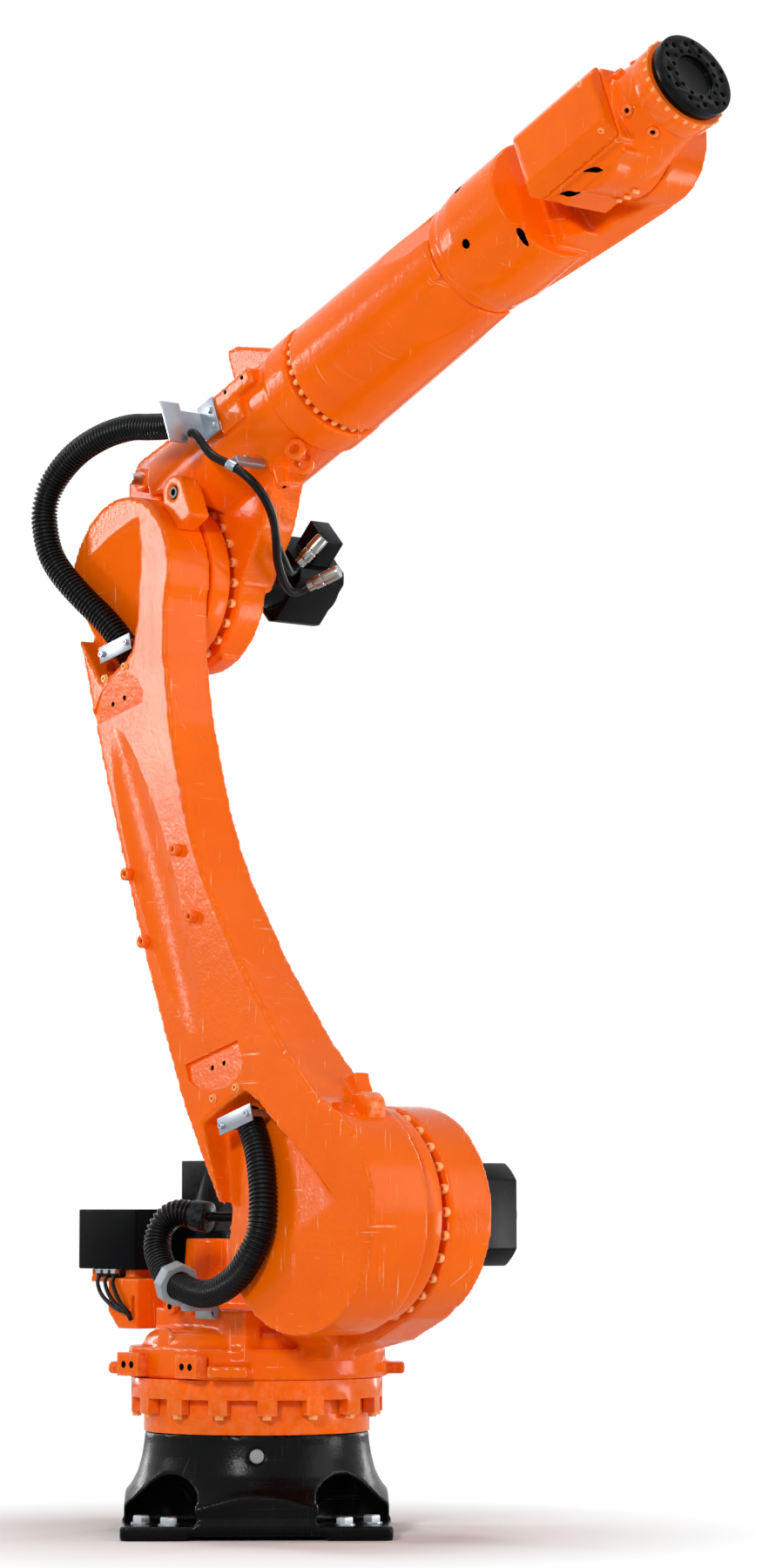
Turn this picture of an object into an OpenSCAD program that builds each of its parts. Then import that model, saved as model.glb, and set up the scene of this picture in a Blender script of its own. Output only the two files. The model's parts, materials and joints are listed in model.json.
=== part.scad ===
// Six-axis handling robot of the three metre class, standing on a bolted base.
// Millimetres, Z up. Origin on the floor under the turning axis.
// X runs right in the view of the photograph, Y away from the viewer.

/* [Pose] */
// Turn of the carousel about the vertical axis
pose_a1 = 51.6; // [0:0.1:90]
// Lean of the link arm back from vertical
pose_a2 = 25.7; // [10:0.1:40]
// Pitch of the arm above level
pose_a3 = 21.8; // [0:0.1:40]

/* [Axes] */
// Turning axis to shoulder axis, forward
a2_x = 410; // [380:1:440]
// Height of the shoulder axis
a2_z = 592; // [570:1:620]
// Shoulder axis to elbow axis
link_l = 1344; // [1280:1:1420]
// Elbow axis to the arm axis, square to the arm
arm_off = 180; // [165:1:195]
// Elbow axis to the front of the arm housing
arm_split = 505; // [490:1:540]
// Elbow axis to the wrist axis along the arm
wrist_x = 1343; // [1320:1:1500]
// Wrist axis to the tool face
tool_x = 215; // [210:1:240]

/* [Base] */
// Width of the square foot
base_w = 500; // [480:2:540]
// Thickness of the foot at its edge
foot_h = 30; // [28:1:36]
// Height of the black base
base_h = 188; // [180:1:200]
// Radius of the base at its top
base_top_r = 210; // [204:1:212]
// Width of a corner pad
pad_w = 122; // [110:1:130]
// Lift of the foot edge between the pads
edge_lift = 8; // [4:1:14]
// Height of the bolt seat on a corner pad
seat_h = 26; // [20:1:27]
// Radius of the scoop over a corner pad
scoop_r = 96; // [86:1:100]
// Middle of a scoop from the foot's edges
scoop_in = 68; // [60:1:76]
// Outer floor bolt from the foot's edge
bolt_out = 38; // [34:1:44]
// Inner floor bolt from the foot's edge
bolt_in = 89; // [82:1:95]
// Floor bolt head across its flats
bolt_af = 30; // [24:1:32]
// Floor bolt head height
bolt_head = 13; // [10:0.5:16]
// Diameter of the grey plug on the base
plug_d = 27; // [20:1:32]

/* [Turning joint] */
// Radius of the fixed gear ring
gear_r = 212; // [210:1:213]
// Height of the fixed gear ring
gear_h = 64; // [58:1:70]
// Radius of the turning bearing ring
bearing_r = 236; // [232:1:240]
// Height of the bearing ring
bearing_h = 36; // [30:1:42]
// Count of lugs round the bearing ring
lug_n = 16; // [12:1:16]
// Width of a lug
lug_w = 36; // [30:1:40]
// Depth a lug hangs below the ring
lug_drop = 28; // [24:1:32]
// Gap between seated pieces of one body
seat_gap = 0.2; // [0.1:0.05:0.4]
// Clearance between bodies that turn on each other
turn_gap = 0.6; // [0.4:0.1:1.2]

/* [Carousel] */
// Radius of the carousel plate
carousel_r = 241; // [238:1:248]
// Height of the carousel plate
carousel_h = 58; // [52:1:64]
// Radius of the shoulder drum
drum_r = 196; // [190:1:202]
// Near end of the shoulder drum from the middle plane
drum_near = 40; // [36:1:43]
// Far end of the shoulder drum from the middle plane
drum_far = 58; // [52:1:66]
// Distance of the marker flat from the turning axis
flat_y = 219; // [214:1:226]
// Reach of a stop tab from the turning axis
tab_r = 278; // [268:1:284]
// Half width of the turning motor
motor1_w = 42; // [36:1:44]
// Half width of the shoulder motor
motor2_w = 94; // [86:1:98]
// Length of the shoulder motor past the drum
motor2_l = 174; // [160:2:190]

/* [Link arm] */
// Radius of the link arm round the shoulder axis
link_low_r = 216; // [210:1:222]
// Radius of the link arm round the elbow axis
link_high_r = 168; // [160:1:172]
// Outer face of the link arm from the middle plane
link_face = 240; // [232:1:246]
// Inner side of the link arm from the middle plane
link_inner = 108; // [104:1:114]
// Radius of the shoulder ring flange
ring2_r = 198; // [195:1:204]
// Radius of the elbow ring flange
ring3_r = 163; // [161:1:168]
// Radius of the arm housing round the elbow axis
hub3_r = 167; // [164:1:172]
// Bolt circle radius of the shoulder ring
ring2_bolt_r = 186; // [180:1:190]
// Bolt circle radius of the elbow ring
ring3_bolt_r = 152; // [146:1:156]
// Outer face of the link arm at its upper end from the middle plane
link_face_top = 200; // [196:1:206]
// Count of shoulder ring bolts
ring2_n = 28; // [24:1:30]
// Count of elbow ring bolts
ring3_n = 24; // [20:1:26]
// Side of a ring flange towards the carousel
ring_side = 62; // [58:1:66]
// Ring bolt head height
ring_head = 10; // [8:0.5:12]
// Ring bolt head diameter
ring_head_d = 18; // [14:0.5:20]

/* [Arm] */
// Radius of the arm barrel behind the split
barrel_r = 122; // [119:1:126]
// Radius of the arm tube
tube_r = 119; // [114:1:122]
// Radius of the bolt circle at the arm split
split_bolt_r = 105; // [102:1:108]
// Width of a pocket at the front of the arm tube
pocket_w = 92; // [80:1:100]
// Length of the arm tube
tube_l = 434; // [424:1:440]
// Far side of the arm housing web from the middle plane
web3_far = 40; // [34:1:46]
// Elbow motor half width
motor3_w = 68; // [62:1:72]
// Elbow motor length
motor3_l = 185; // [170:1:200]

/* [Wrist] */
// Radius of the wrist housing
wrist_r = 118; // [112:1:122]
// Radius of the wrist hub
hub_r = 101; // [96:1:106]
// Side of the wrist block towards the fork
hub_side = 46; // [42:1:50]
// Width of the fork arm
fork_w = 78; // [72:1:86]
// Radius of the scoop that clears the wrist block
scoop_wrist_r = 205; // [195:1:215]
// Thickness of the tool flange
flange_h = 27; // [22:1:30]
// Radius of the neck ring behind the tool flange
neck_r = 86; // [84:1:88]
// Diameter of the tool flange
flange_d = 160; // [150:1:170]
// Bolt circle of the tool flange
flange_pcd = 125; // [120:1:130]
// Tool flange thread hole diameter
flange_hole_d = 10; // [8:0.5:12]
// Centring recess diameter of the tool flange
flange_bore_d = 80; // [70:1:84]
// Depth of the centring recess
flange_bore_h = 10; // [6:1:14]

/* [Hoses] */
// Width of a hose plate
plate_w = 100; // [92:1:104]
// Length of a hose plate along the link arm
plate_l = 32; // [26:1:36]
// Outside diameter of the corrugated hoses
hose_d = 51; // [48:0.5:52]
// Outside diameter of the motor cable
cable_d = 17; // [14:0.5:18]
// Clearance of a hose in its clamp ring
clamp_gap = 0.9; // [0.5:0.1:1.2]
// Clearance of the motor cable in its clip
clip_gap = 0.7; // [0.4:0.1:1]
// Gap between a hose end and its clamp
hose_gap = 0.3; // [0.2:0.1:0.5]

/* [Hidden] */
$fn = 96;
eps = 0.01;
paint = "#ff6a00";
black = "#121419";
metal = "#b9bec4";
gear_z = base_h;
bolt_far = base_w / 2 - bolt_out;
bolt_near = base_w / 2 - bolt_in;
link_drawn = 1344;
link_k = link_l / link_drawn;
function along(v) = [for (q = v) [q[0] * link_k, q[1]]];
bearing_z = gear_z + gear_h + turn_gap;
plate_z = bearing_z + bearing_h;
deck_z = plate_z + carousel_h;
a3_x = a2_x - link_l * sin(pose_a2);
a3_z = a2_z + link_l * cos(pose_a2);
tube_x = arm_split + turn_gap;
fork_x = tube_x + tube_l;
ring_back = ring_side + 40;
fork_far = hub_side + turn_gap + fork_w;
neck_x = 146;
flange_x = tool_x - flange_h;
far = 400;

// Frames that carry the parts of each body
module frame_carousel() {
    rotate([0, 0, -pose_a1]) children();
}

module frame_link() {
    frame_carousel()
        translate([a2_x, 0, a2_z])
            rotate([-90, -(90 + pose_a2), 0]) children();
}

module frame_arm() {
    frame_carousel()
        translate([a3_x, 0, a3_z])
            rotate([0, -pose_a3, 0]) children();
}

// Round bar along Y from one side to the other
module bar_y(side_a, side_b, r) {
    translate([0, side_a, 0])
        rotate([-90, 0, 0])
            cylinder(h = side_b - side_a, r = r);
}

// Round bar along X from one end to the other
module bar_x(end_a, end_b, r) {
    translate([end_a, 0, 0])
        rotate([0, 90, 0])
            cylinder(h = end_b - end_a, r = r);
}

module hex_head(af, h) {
    cylinder(h = h, d = af / cos(30), $fn = 6);
}

// Smooth route through hand-chosen points
function spline(p0, p1, p2, p3, t) =
    0.5 * ((2 * p1) + (p2 - p0) * t + (2 * p0 - 5 * p1 + 4 * p2 - p3) * t * t
    + (3 * p1 - p0 - 3 * p2 + p3) * t * t * t);
function at_end(v, i) = v[max(0, min(len(v) - 1, i))];
function route(v, k) = [for (i = [0 : len(v) - 2]) for (j = [0 : k - 1])
    spline(at_end(v, i - 1), v[i], v[i + 1], at_end(v, i + 2), j / k), v[len(v) - 1]];
function unit(v) = v / norm(v);
function way(v, i) = unit(at_end(v, i + 1) - at_end(v, i - 1));
function carry(v, i, side) = let (n = side - way(v, i) * (side * way(v, i))) unit(n);
function sides(v) = [for (i = 0, s = carry(v, 0, [0.31, 0.9, 0.3]); i < len(v);
    i = i + 1, s = carry(v, min(i, len(v) - 1), s)) s];

module tube(v, d, m) {
    s = sides(v);
    n = len(v);
    pts = [for (i = [0 : n - 1]) for (j = [0 : m - 1])
        v[i] + d / 2 * (cos(360 * j / m) * s[i] + sin(360 * j / m) * cross(way(v, i), s[i]))];
    walls = [for (i = [0 : n - 2]) for (j = [0 : m - 1])
        [i * m + j, (i + 1) * m + j, (i + 1) * m + (j + 1) % m, i * m + (j + 1) % m]];
    caps = [[for (j = [0 : m - 1]) j], [for (j = [m - 1 : -1 : 0]) (n - 1) * m + j]];
    polyhedron(points = pts, faces = concat(caps, walls), convexity = 6);
}

// Base
module base_frame() {
    half = base_w / 2;
    color(black)
        difference() {
            union() {
                linear_extrude(foot_h)
                    offset(r = 14) square(base_w - 28, center = true);
                intersection() {
                    translate([-half + 4, -half + 4, foot_h - 1]) cube([base_w - 8, base_w - 8, base_h - foot_h + 2]);
                    rotate_extrude()
                        polygon([[0, foot_h - 1], [half + 96, foot_h - 1], [half + 40, foot_h + 16],
                            [half + 6, foot_h + 38], [half - 14, foot_h + 60], [half - 27, foot_h + 84],
                            [base_top_r + 5, base_h - 44], [base_top_r + 1, base_h - 18], [base_top_r, base_h],
                            [0, base_h]]);
                }
            }
            for (a = [0 : 90 : 270])
                rotate([0, 0, a]) {
                    translate([-(half - pad_w), half - 40, -1])
                        cube([2 * (half - pad_w), 60, edge_lift + 1]);
                    translate([half - scoop_in, half - scoop_in, seat_h])
                        intersection() {
                            sphere(r = scoop_r);
                            cylinder(h = base_h, r = scoop_r + 1);
                        }
                }
            translate([0, -base_top_r + 4, 150]) rotate([90, 0, 0]) cylinder(h = 40, d = plug_d + 0.4);
        }
}

module base_bolts() {
    color(metal)
        for (a = [0 : 90 : 270])
            rotate([0, 0, a])
                for (p = [[bolt_far, bolt_near], [bolt_near, bolt_far]])
                    translate([p[0], p[1], seat_h]) {
                        translate([0, 0, seat_gap]) cylinder(h = 3, d = bolt_af + 7);
                        translate([0, 0, 3 + seat_gap - eps]) hex_head(bolt_af, bolt_head);
                    }
}

module base_plug() {
    color(metal)
        translate([0, -base_top_r + 4 - seat_gap, 150])
            rotate([90, 0, 0]) cylinder(h = 10, d = plug_d);
}

module a1_gear_ring() {
    color(paint)
        translate([0, 0, gear_z + seat_gap])
            cylinder(h = gear_h - seat_gap, r = gear_r);
}

// Carousel
module a1_bearing_ring() {
    color(paint)
        frame_carousel()
            translate([0, 0, bearing_z])
                intersection() {
                    union() {
                        cylinder(h = bearing_h - seat_gap, r = bearing_r);
                        for (i = [0 : lug_n - 1])
                            rotate([0, 0, 360 / lug_n * (i + 0.5)])
                                translate([gear_r + 2, -lug_w / 2, -lug_drop])
                                    cube([30, lug_w, lug_drop + 1]);
                    }
                    translate([0, 0, -lug_drop - 1]) cylinder(h = 200, r = bearing_r);
                }
}

module a1_ring_bolts() {
    color(paint)
        frame_carousel()
            for (i = [0 : lug_n - 1])
                rotate([0, 0, 360 / lug_n * (i + 0.5)])
                    translate([(gear_r + bearing_r) / 2 + 2, 0, bearing_z - lug_drop - 12 - seat_gap])
                        hex_head(19, 12);
}

module carousel() {
    web_low = deck_z - 20;
    color(paint)
        frame_carousel()
            difference() {
                union() {
                    difference() {
                        translate([0, 0, plate_z]) cylinder(h = carousel_h, r = carousel_r);
                        translate([-150, -carousel_r - 30, plate_z - 1])
                            cube([300, carousel_r + 30 - flat_y, carousel_h + 2]);
                    }
                    rotate_extrude()
                        polygon([[0, deck_z - 1], [carousel_r - 26, deck_z - 1], [carousel_r - 29, deck_z + 12],
                            [carousel_r - 36, deck_z + 22], [carousel_r - 48, deck_z + 29],
                            [carousel_r - 66, deck_z + 33], [0, deck_z + 33]]);
                    translate([0, -drum_near, 0])
                        rotate([90, 0, 0]) mirror([0, 0, 1])
                            linear_extrude(drum_near + drum_far)
                                polygon([[-120, web_low], [-110, 420], [0, 470], [a2_x - 225, a2_z - 30],
                                    [a2_x - 190, a2_z + 75], [a2_x, a2_z], [a2_x + 142, a2_z - 136],
                                    [a2_x + 76, a2_z - 186], [a2_x - 20, a2_z - 228], [a2_x - 110, a2_z - 246],
                                    [carousel_r - 24, web_low]]);
                    translate([-100, -165, web_low]) cube([205, 200, 92]);
                    translate([104, -168, web_low]) cube([70, 40, 91]);
                    translate([a2_x, 0, a2_z]) bar_y(-drum_near, drum_far, drum_r);
                    translate([-165, 20, web_low]) cylinder(h = 220, r1 = 62, r2 = 50);
                    for (a = [50, 130, -50, -130])
                        rotate([0, 0, a])
                            translate([carousel_r - 30, -38, plate_z + 6]) cube([tab_r - carousel_r + 30, 76, 22]);
                    translate([197, -75, deck_z + 35]) {
                        sphere(r = 21, $fn = 48);
                        bar_x(0, 120, 21);
                    }
                    translate([210, -75, web_low]) cube([100, 60, 50]);
                }
                translate([a2_x, 0, a2_z]) bar_y(-drum_near - far, -drum_near, ring2_r + 20);
            }
}

module stop_blocks() {
    color(paint)
        frame_carousel()
            for (x = [-82, 96])
                translate([x, -flat_y - seat_gap, plate_z + 25])
                    rotate([90, 0, 0])
                        difference() {
                            translate([-32, -21, 0]) cube([64, 43, 24]);
                            for (k = [-1, 1])
                                translate([12 * k, 0, 12]) cylinder(h = 20, d = 13, $fn = 32);
                        }
}

module carousel_bosses() {
    color(paint)
        frame_carousel() {
            for (x = [-40, 18])
                translate([x, -165 - seat_gap, 421])
                    rotate([90, 0, 0])
                        difference() {
                            cylinder(h = 12, r = 15);
                            translate([0, 0, 6]) cylinder(h = 10, r = 6);
                        }
        }
}

module a1_motor() {
    foot = deck_z - 20 + 220 + seat_gap;
    color(black)
        frame_carousel()
            translate([-165, 20, foot]) {
                translate([0, 0, 0]) cylinder(h = 14, r = 46);
                translate([-motor1_w, -motor1_w, 13]) cube([2 * motor1_w, 2 * motor1_w, 134]);
                translate([0, 0, 146]) cylinder(h = 36, r = 4);
            }
}

module a2_motor() {
    color(black)
        frame_carousel()
            translate([a2_x, drum_far + seat_gap, a2_z])
                rotate([-90, 0, 0]) {
                    intersection() {
                        cylinder(h = motor2_l - 24, r = motor2_w * 1.2);
                        translate([-motor2_w, -motor2_w, 0]) cube([2 * motor2_w, 2 * motor2_w, motor2_l]);
                    }
                    cylinder(h = motor2_l - 12, r = motor2_w - 14);
                    cylinder(h = motor2_l, r = motor2_w - 26);
                }
}

module connection_box() {
    color(black)
        frame_carousel()
            translate([-406, -121, 487 + seat_gap]) cube([184, 180, 114]);
}

module box_bracket() {
    color(paint)
        frame_carousel() {
            difference() {
                translate([-322, -112, 374]) cube([93, 130, 96]);
                translate([-322, -170, 374]) rotate([0, 45, 0]) cube([46, 260, 46], center = true);
                translate([-250, -120, 392]) cube([12, 60, 44]);
            }
            for (x = [-392, -282])
                translate([x, -100, 470 - eps]) cube([30, 150, 17]);
            translate([-394, -100, 462]) cube([112, 150, 9]);
            translate([-238, -30, deck_z + seat_gap]) cube([9, 48, 60]);
        }
}

module box_leads() {
    color(black)
        frame_carousel()
            for (i = [0 : 2]) {
                lead = [[-347 + 24 * i, -113, 476], [-346 + 24 * i, -119, 462], [-332 + 24 * i, -121, 440],
                    [-302 + 18 * i, -121, 420], [-270 + 10 * i, -120, 408], [-246 + 2 * i, -116.5, 404 - 7 * i]];
                translate([-347 + 24 * i, -112, 475]) cylinder(h = 12 - seat_gap, d = 16, $fn = 24);
                tube(route(lead, 3), 8, 8);
            }
}

module hose_clamp() {
    color(metal)
        frame_carousel()
            translate([78.5, -251.6, 465])
                difference() {
                    union() {
                        rotate([0, 106.3, -7.8]) cylinder(h = 26, r = 41, center = true, $fn = 8);
                        translate([-13, 20, -50]) cube([26, 66, 22]);
                        translate([-40, 74, -66]) cube([58, 12.4, 40]);
                    }
                    rotate([0, 106.3, -7.8]) cylinder(h = 60, r = hose_d / 2 + clamp_gap, center = true);
                }
}

module hose_collar() {
    color(black)
        frame_carousel()
            union() {
                translate([46.6, -185.3, 590.7])
                    rotate([0, 0, 24]) rotate([0, 98, 0]) cylinder(h = 30, r = hose_d / 2 + 3);
                translate([64, -177, 588]) rotate([0, 91, 42.5]) cylinder(h = 190, r = 9);
                translate([204, -49, 584.7]) {
                    sphere(r = 9, $fn = 32);
                    bar_y(0, 49 - drum_near - hose_gap, 9);
                }
            }
}

low_route = [[238, -214, 773], [258, -219, 749], [287, -228, 713], [315, -240, 661], [332, -251, 607], [335, -259, 562],
    [318, -266.9, 519], [279, -267.6, 481], [222, -266, 455], [165, -262, 448], [104, -255, 458], [53, -248, 473],
    [13, -238, 502], [-12, -228, 533], [-16, -217, 566], [-2, -207, 587], [19, -197, 595], [45, -186, 591]];

module hose_lower() {
    color(black)
        frame_carousel()
            tube(route(low_route, 2), hose_d, 12);
}

// Link arm
function arc(cx, cy, r, a0, a1, n) = [for (i = [0 : n]) let (a = a0 + (a1 - a0) * i / n)
    [cx + r * cos(a), cy + r * sin(a)]];
link_front = [[1303, 150], [1200, 98], [1144, 72], [1004, 34], [847, 10], [760, 5], [677, 9], [496, 38],
    [308, 88], [158, 146]];
link_back = [[101, -190], [329, -214], [475, -216], [661, -212], [801, -205], [939, -197], [1164, -176],
    [1250, -166], [1330, -160]];

module link_arm() {
    tilt = atan((link_face - link_face_top) / 1300);
    color(paint)
        frame_link() {
            difference() {
                union() {
                    translate([0, 0, -link_face])
                        linear_extrude(link_face - link_inner) {
                            polygon(along(concat(link_front, link_back)));
                            circle(r = link_low_r);
                            translate([link_l, 0]) circle(r = link_high_r - 8);
                        }
                    translate([80, 60, -146]) cube([130, 96, 36]);
                    translate([0, 0, -link_inner - eps])
                        cylinder(h = link_inner - ring_back + eps - seat_gap, r = ring2_r - 14);
                    translate([link_l, 0, -link_inner - eps])
                        cylinder(h = link_inner - ring_back + eps - seat_gap, r = ring3_r - 17);
                }
                translate([200, -far, -link_face])
                    rotate([0, -tilt, 0]) translate([0, 0, -100]) cube([1600, 2 * far, 100]);
                intersection() {
                    translate([0, 0, -link_face - 1])
                        linear_extrude(100)
                            polygon([[268, -176], [268, -40], [227, -9], [130, 38], [-66, 138], [-30, -80], [0, -240],
                                [120, -186], [200, -182]]);
                    translate([-30, -far, -link_face])
                        rotate([0, -11.3, 0]) translate([-200, 0, -200]) cube([600, 2 * far, 200]);
                }
                intersection() {
                    translate([0, 0, -link_face - 1])
                        linear_extrude(110)
                            polygon(along([[1190, -132], [1190, -46], [1199, -19], [1250, 20], [1330, 62], [1420, 96],
                                [1455, -90], [1440, -240], [1326, -240], [1304, -157], [1262, -147]]));
                    translate([1436 * link_k, -far, -link_face_top])
                        rotate([0, 14.5, 0]) translate([-600, 0, -200]) cube([600, 2 * far, 200]);
                }
                translate([433 * link_k, -124, -link_face - 64])
                    rotate([0, 90 - tilt, 0]) cylinder(h = 616 * link_k, r = 72);
            }
        }
}

module ring_flange(r) {
    translate([0, 0, -ring_back]) cylinder(h = ring_back - ring_side, r = r);
}

module a2_ring() {
    color(paint) frame_link() ring_flange(ring2_r);
}

module a3_ring() {
    color(paint) frame_link() translate([link_l, 0, 0]) ring_flange(ring3_r);
}

module head_ring(r, n, first) {
    for (i = [0 : n - 1])
        rotate([0, 0, first + 360 / n * i])
            translate([r, 0, -drum_near - seat_gap - ring_head]) cylinder(h = ring_head, d = ring_head_d, $fn = 24);
}

module a2_ring_bolts() {
    color(paint) frame_link() head_ring(ring2_bolt_r, ring2_n, 11.5);
}

module a3_ring_bolts() {
    color(paint) frame_link() translate([link_l, 0, 0]) head_ring(ring3_bolt_r, ring3_n, 14);
}

module hose_plate(depth, rise) {
    translate([-plate_l / 2, -plate_w / 2, -3]) cube([plate_l, plate_w, 3]);
    for (k = [-1, 1])
        translate([0, k * (plate_w / 2 - 9), -eps]) cylinder(h = depth + k * rise, r = 7);
}

module hose_plate_low() {
    color(metal)
        frame_link()
            translate([226, -74, -link_face - 5]) rotate([0, 0, 10]) hose_plate(54.5, -1.4);
}

module hose_plate_high() {
    color(metal)
        frame_link()
            translate([link_l - 116, -65, -link_face_top - 6.2]) rotate([0, 0, 14]) hose_plate(58, 2.6);
}

module link_bosses() {
    tilt = atan((link_face - link_face_top) / 1300);
    color(paint)
        frame_link()
            for (p = [[770, -40], [802, -192], [631, -46], [659, -196]])
                translate([p[0], p[1], -link_face + (p[0] - 200) * tan(tilt) - seat_gap])
                    rotate([180, 0, 0]) rotate([0, tilt, 0])
                        difference() {
                            translate([0, 0, 0.4]) cylinder(h = 14, r = 12);
                            translate([0, 0, 8]) cylinder(h = 10, r = 5, $fn = 6);
                        }
}

module link_eye() {
    color(paint)
        frame_link() {
            translate([link_l + 87, 180, -172])
                difference() {
                    union() {
                        cylinder(h = 44, r = 34);
                        translate([-72, -60, 0]) cube([72, 94, 44]);
                    }
                    translate([0, 0, -1]) cylinder(h = 60, r = 13);
                    translate([-87, -180, -1]) cylinder(h = 60, r = link_high_r - 8 + seat_gap);
                }
        }
}

high_route = [[-176, -174, 1656], [-201, -182, 1694], [-232, -195, 1732], [-275, -213, 1775], [-318, -228, 1820],
    [-351, -236, 1864], [-366, -240, 1909], [-371, -240, 1955], [-358, -236, 1998], [-325, -229, 2036],
    [-275, -222, 2066], [-210, -213, 2086], [-143, -204, 2093],
    [-90, -197, 2088], [-44, -192, 2084], [-10.9, -190, 2088]];

module hose_upper() {
    color(black)
        frame_carousel()
            tube(route(high_route, 2), hose_d, 12);
}

// Arm
module arm_housing() {
    color(paint)
        frame_arm()
            union() {
            bar_y(-drum_near, 24, hub3_r);
            difference() {
                union() {
                    translate([0, -drum_near, 0])
                        rotate([90, 0, 0]) mirror([0, 0, 1])
                            linear_extrude(drum_near + web3_far)
                                polygon([[-150, 40], [-118, 230], [-96, 284], [-50, 308], [60, 302], [300, 250],
                                    [410, 120], [332, 96], [250, 0], [140, -80]]);
                    translate([0, 0, arm_off]) {
                        bar_x(40, arm_split - 66, barrel_r - 8);
                        bar_x(arm_split - 66, arm_split, barrel_r);
                    }
                    translate([0, -20, 0])
                        rotate([90, 0, 0]) mirror([0, 0, 1])
                            linear_extrude(70)
                                polygon([[250, 240], [255, 384], [284, 380], [377, 322], [380, 240]]);
                    translate([262, -134, 205]) cube([162, 70, 32]);
                    translate([300, -128, 160]) cube([70, 40, 50]);
                    translate([-9, -84, 238]) rotate([-90, 0, 0]) cylinder(h = 60, r = 24);
                    translate([337, -40, 36]) cylinder(h = 60, r = 15);
                    translate([-30, -28, -172]) cube([64, 36, 40]);
                }
                translate([40, -drum_near - 1, 170])
                    rotate([-90, 0, 0]) cylinder(h = 26, r = 62);
                translate([0, 0, 0]) bar_y(-drum_near - far, -drum_near, ring3_r + 12);
            }
            }
}

module a3_motor() {
    color(black)
        frame_arm()
            translate([96, web3_far + seat_gap, -17])
                rotate([-90, 0, 0]) rotate([0, 0, -22]) {
                    cylinder(h = 56, r = motor3_w - 12);
                    translate([0, 0, 55])
                        intersection() {
                            cylinder(h = motor3_l - 75, r = motor3_w * 1.25);
                            translate([-motor3_w, -motor3_w, 0]) cube([2 * motor3_w, 2 * motor3_w, motor3_l]);
                        }
                    cylinder(h = motor3_l - 8, r = motor3_w - 8);
                    cylinder(h = motor3_l, r = motor3_w - 26);
                    translate([motor3_w - 8, -30, 92]) cube([66, 66, 46]);
                }
}

module hose_bracket() {
    color(metal)
        frame_arm() {
            translate([262, -228, 154]) cube([4, 44, 86]);
            translate([262, -186, 168]) cube([4, 50, 56]);
            translate([262.1, -138.4, 164]) cube([48, 4, 72]);
        }
}

cable_route = [[272.1, -178, 173], [285, -178, 160], [298, -166, 113], [330, -150, 72], [348, -132, 36],
    [344, -105, 4], [316, -70, -20], [272, -34, -38], [228, -4, -62], [196, 28, -86], [181, 54, -96],
    [184, 74, -95], [195, 84, -91]];
cable_branch = [[264, -28, -43], [222, 20, -56], [190, 56, -58], [180, 74, -50], [185, 84, -39]];

module motor_cable() {
    color(black)
        frame_arm()
            union() {
                tube(route(cable_route, 3), cable_d, 10);
                tube(route(cable_branch, 3), cable_d - 3, 10);
            }
}

module cable_clip() {
    color(metal)
        frame_arm()
            translate([330, -150, 72]) {
                difference() {
                    rotate([0, 139, 30]) cylinder(h = 20, d = cable_d + 5, center = true);
                    rotate([0, 139, 30]) cylinder(h = 40, d = cable_d + 2 * clip_gap, center = true);
                }
                translate([-8, 9, 6]) cube([16, 68, 14]);
            }
}

module cable_plugs() {
    color(metal)
        frame_arm() {
            translate([185.8, 84.4, -38.5]) rotate([0, 62, 28]) translate([0, 0, 1.45]) cylinder(h = 70, d = 27);
            translate([196, 84.4, -91]) rotate([0, 88, 24]) translate([0, 0, 1.45]) cylinder(h = 70, d = 27);
        }
}

module lifting_eyes() {
    color(paint)
        frame_arm()
            for (p = [[400, -36, 49.5], [424, -70, 64.6]])
                translate(p)
                    rotate([90, 0, 30])
                        difference() {
                            cylinder(h = 12, r = 20, center = true);
                            cylinder(h = 20, r = 10, center = true);
                        }
}

// Forearm
module arm_tube() {
    color(paint)
        frame_arm()
            translate([0, 0, arm_off])
                difference() {
                    union() {
                        bar_x(tube_x, tube_x + 16, split_bolt_r - 2);
                        translate([tube_x + 16 - eps, 0, 0])
                            rotate([0, 90, 0]) cylinder(h = tube_l - 16, r1 = tube_r + 1, r2 = tube_r - 4);
                    }
                    for (a = [51 : 90 : 321])
                        rotate([a, 0, 0])
                            translate([fork_x - 150, tube_r - 3, -pocket_w / 2])
                                rotate([0, 0, -7.5]) cube([200, 60, pocket_w]);
                }
}

module tube_bolts() {
    color(paint)
        frame_arm()
            translate([0, 0, arm_off])
                for (i = [0 : 31])
                    rotate([11.25 * i + 2, 0, 0])
                        translate([0, split_bolt_r + 4, 0])
                            bar_x(tube_x + 2, tube_x + 15, 5.5);
}

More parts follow.
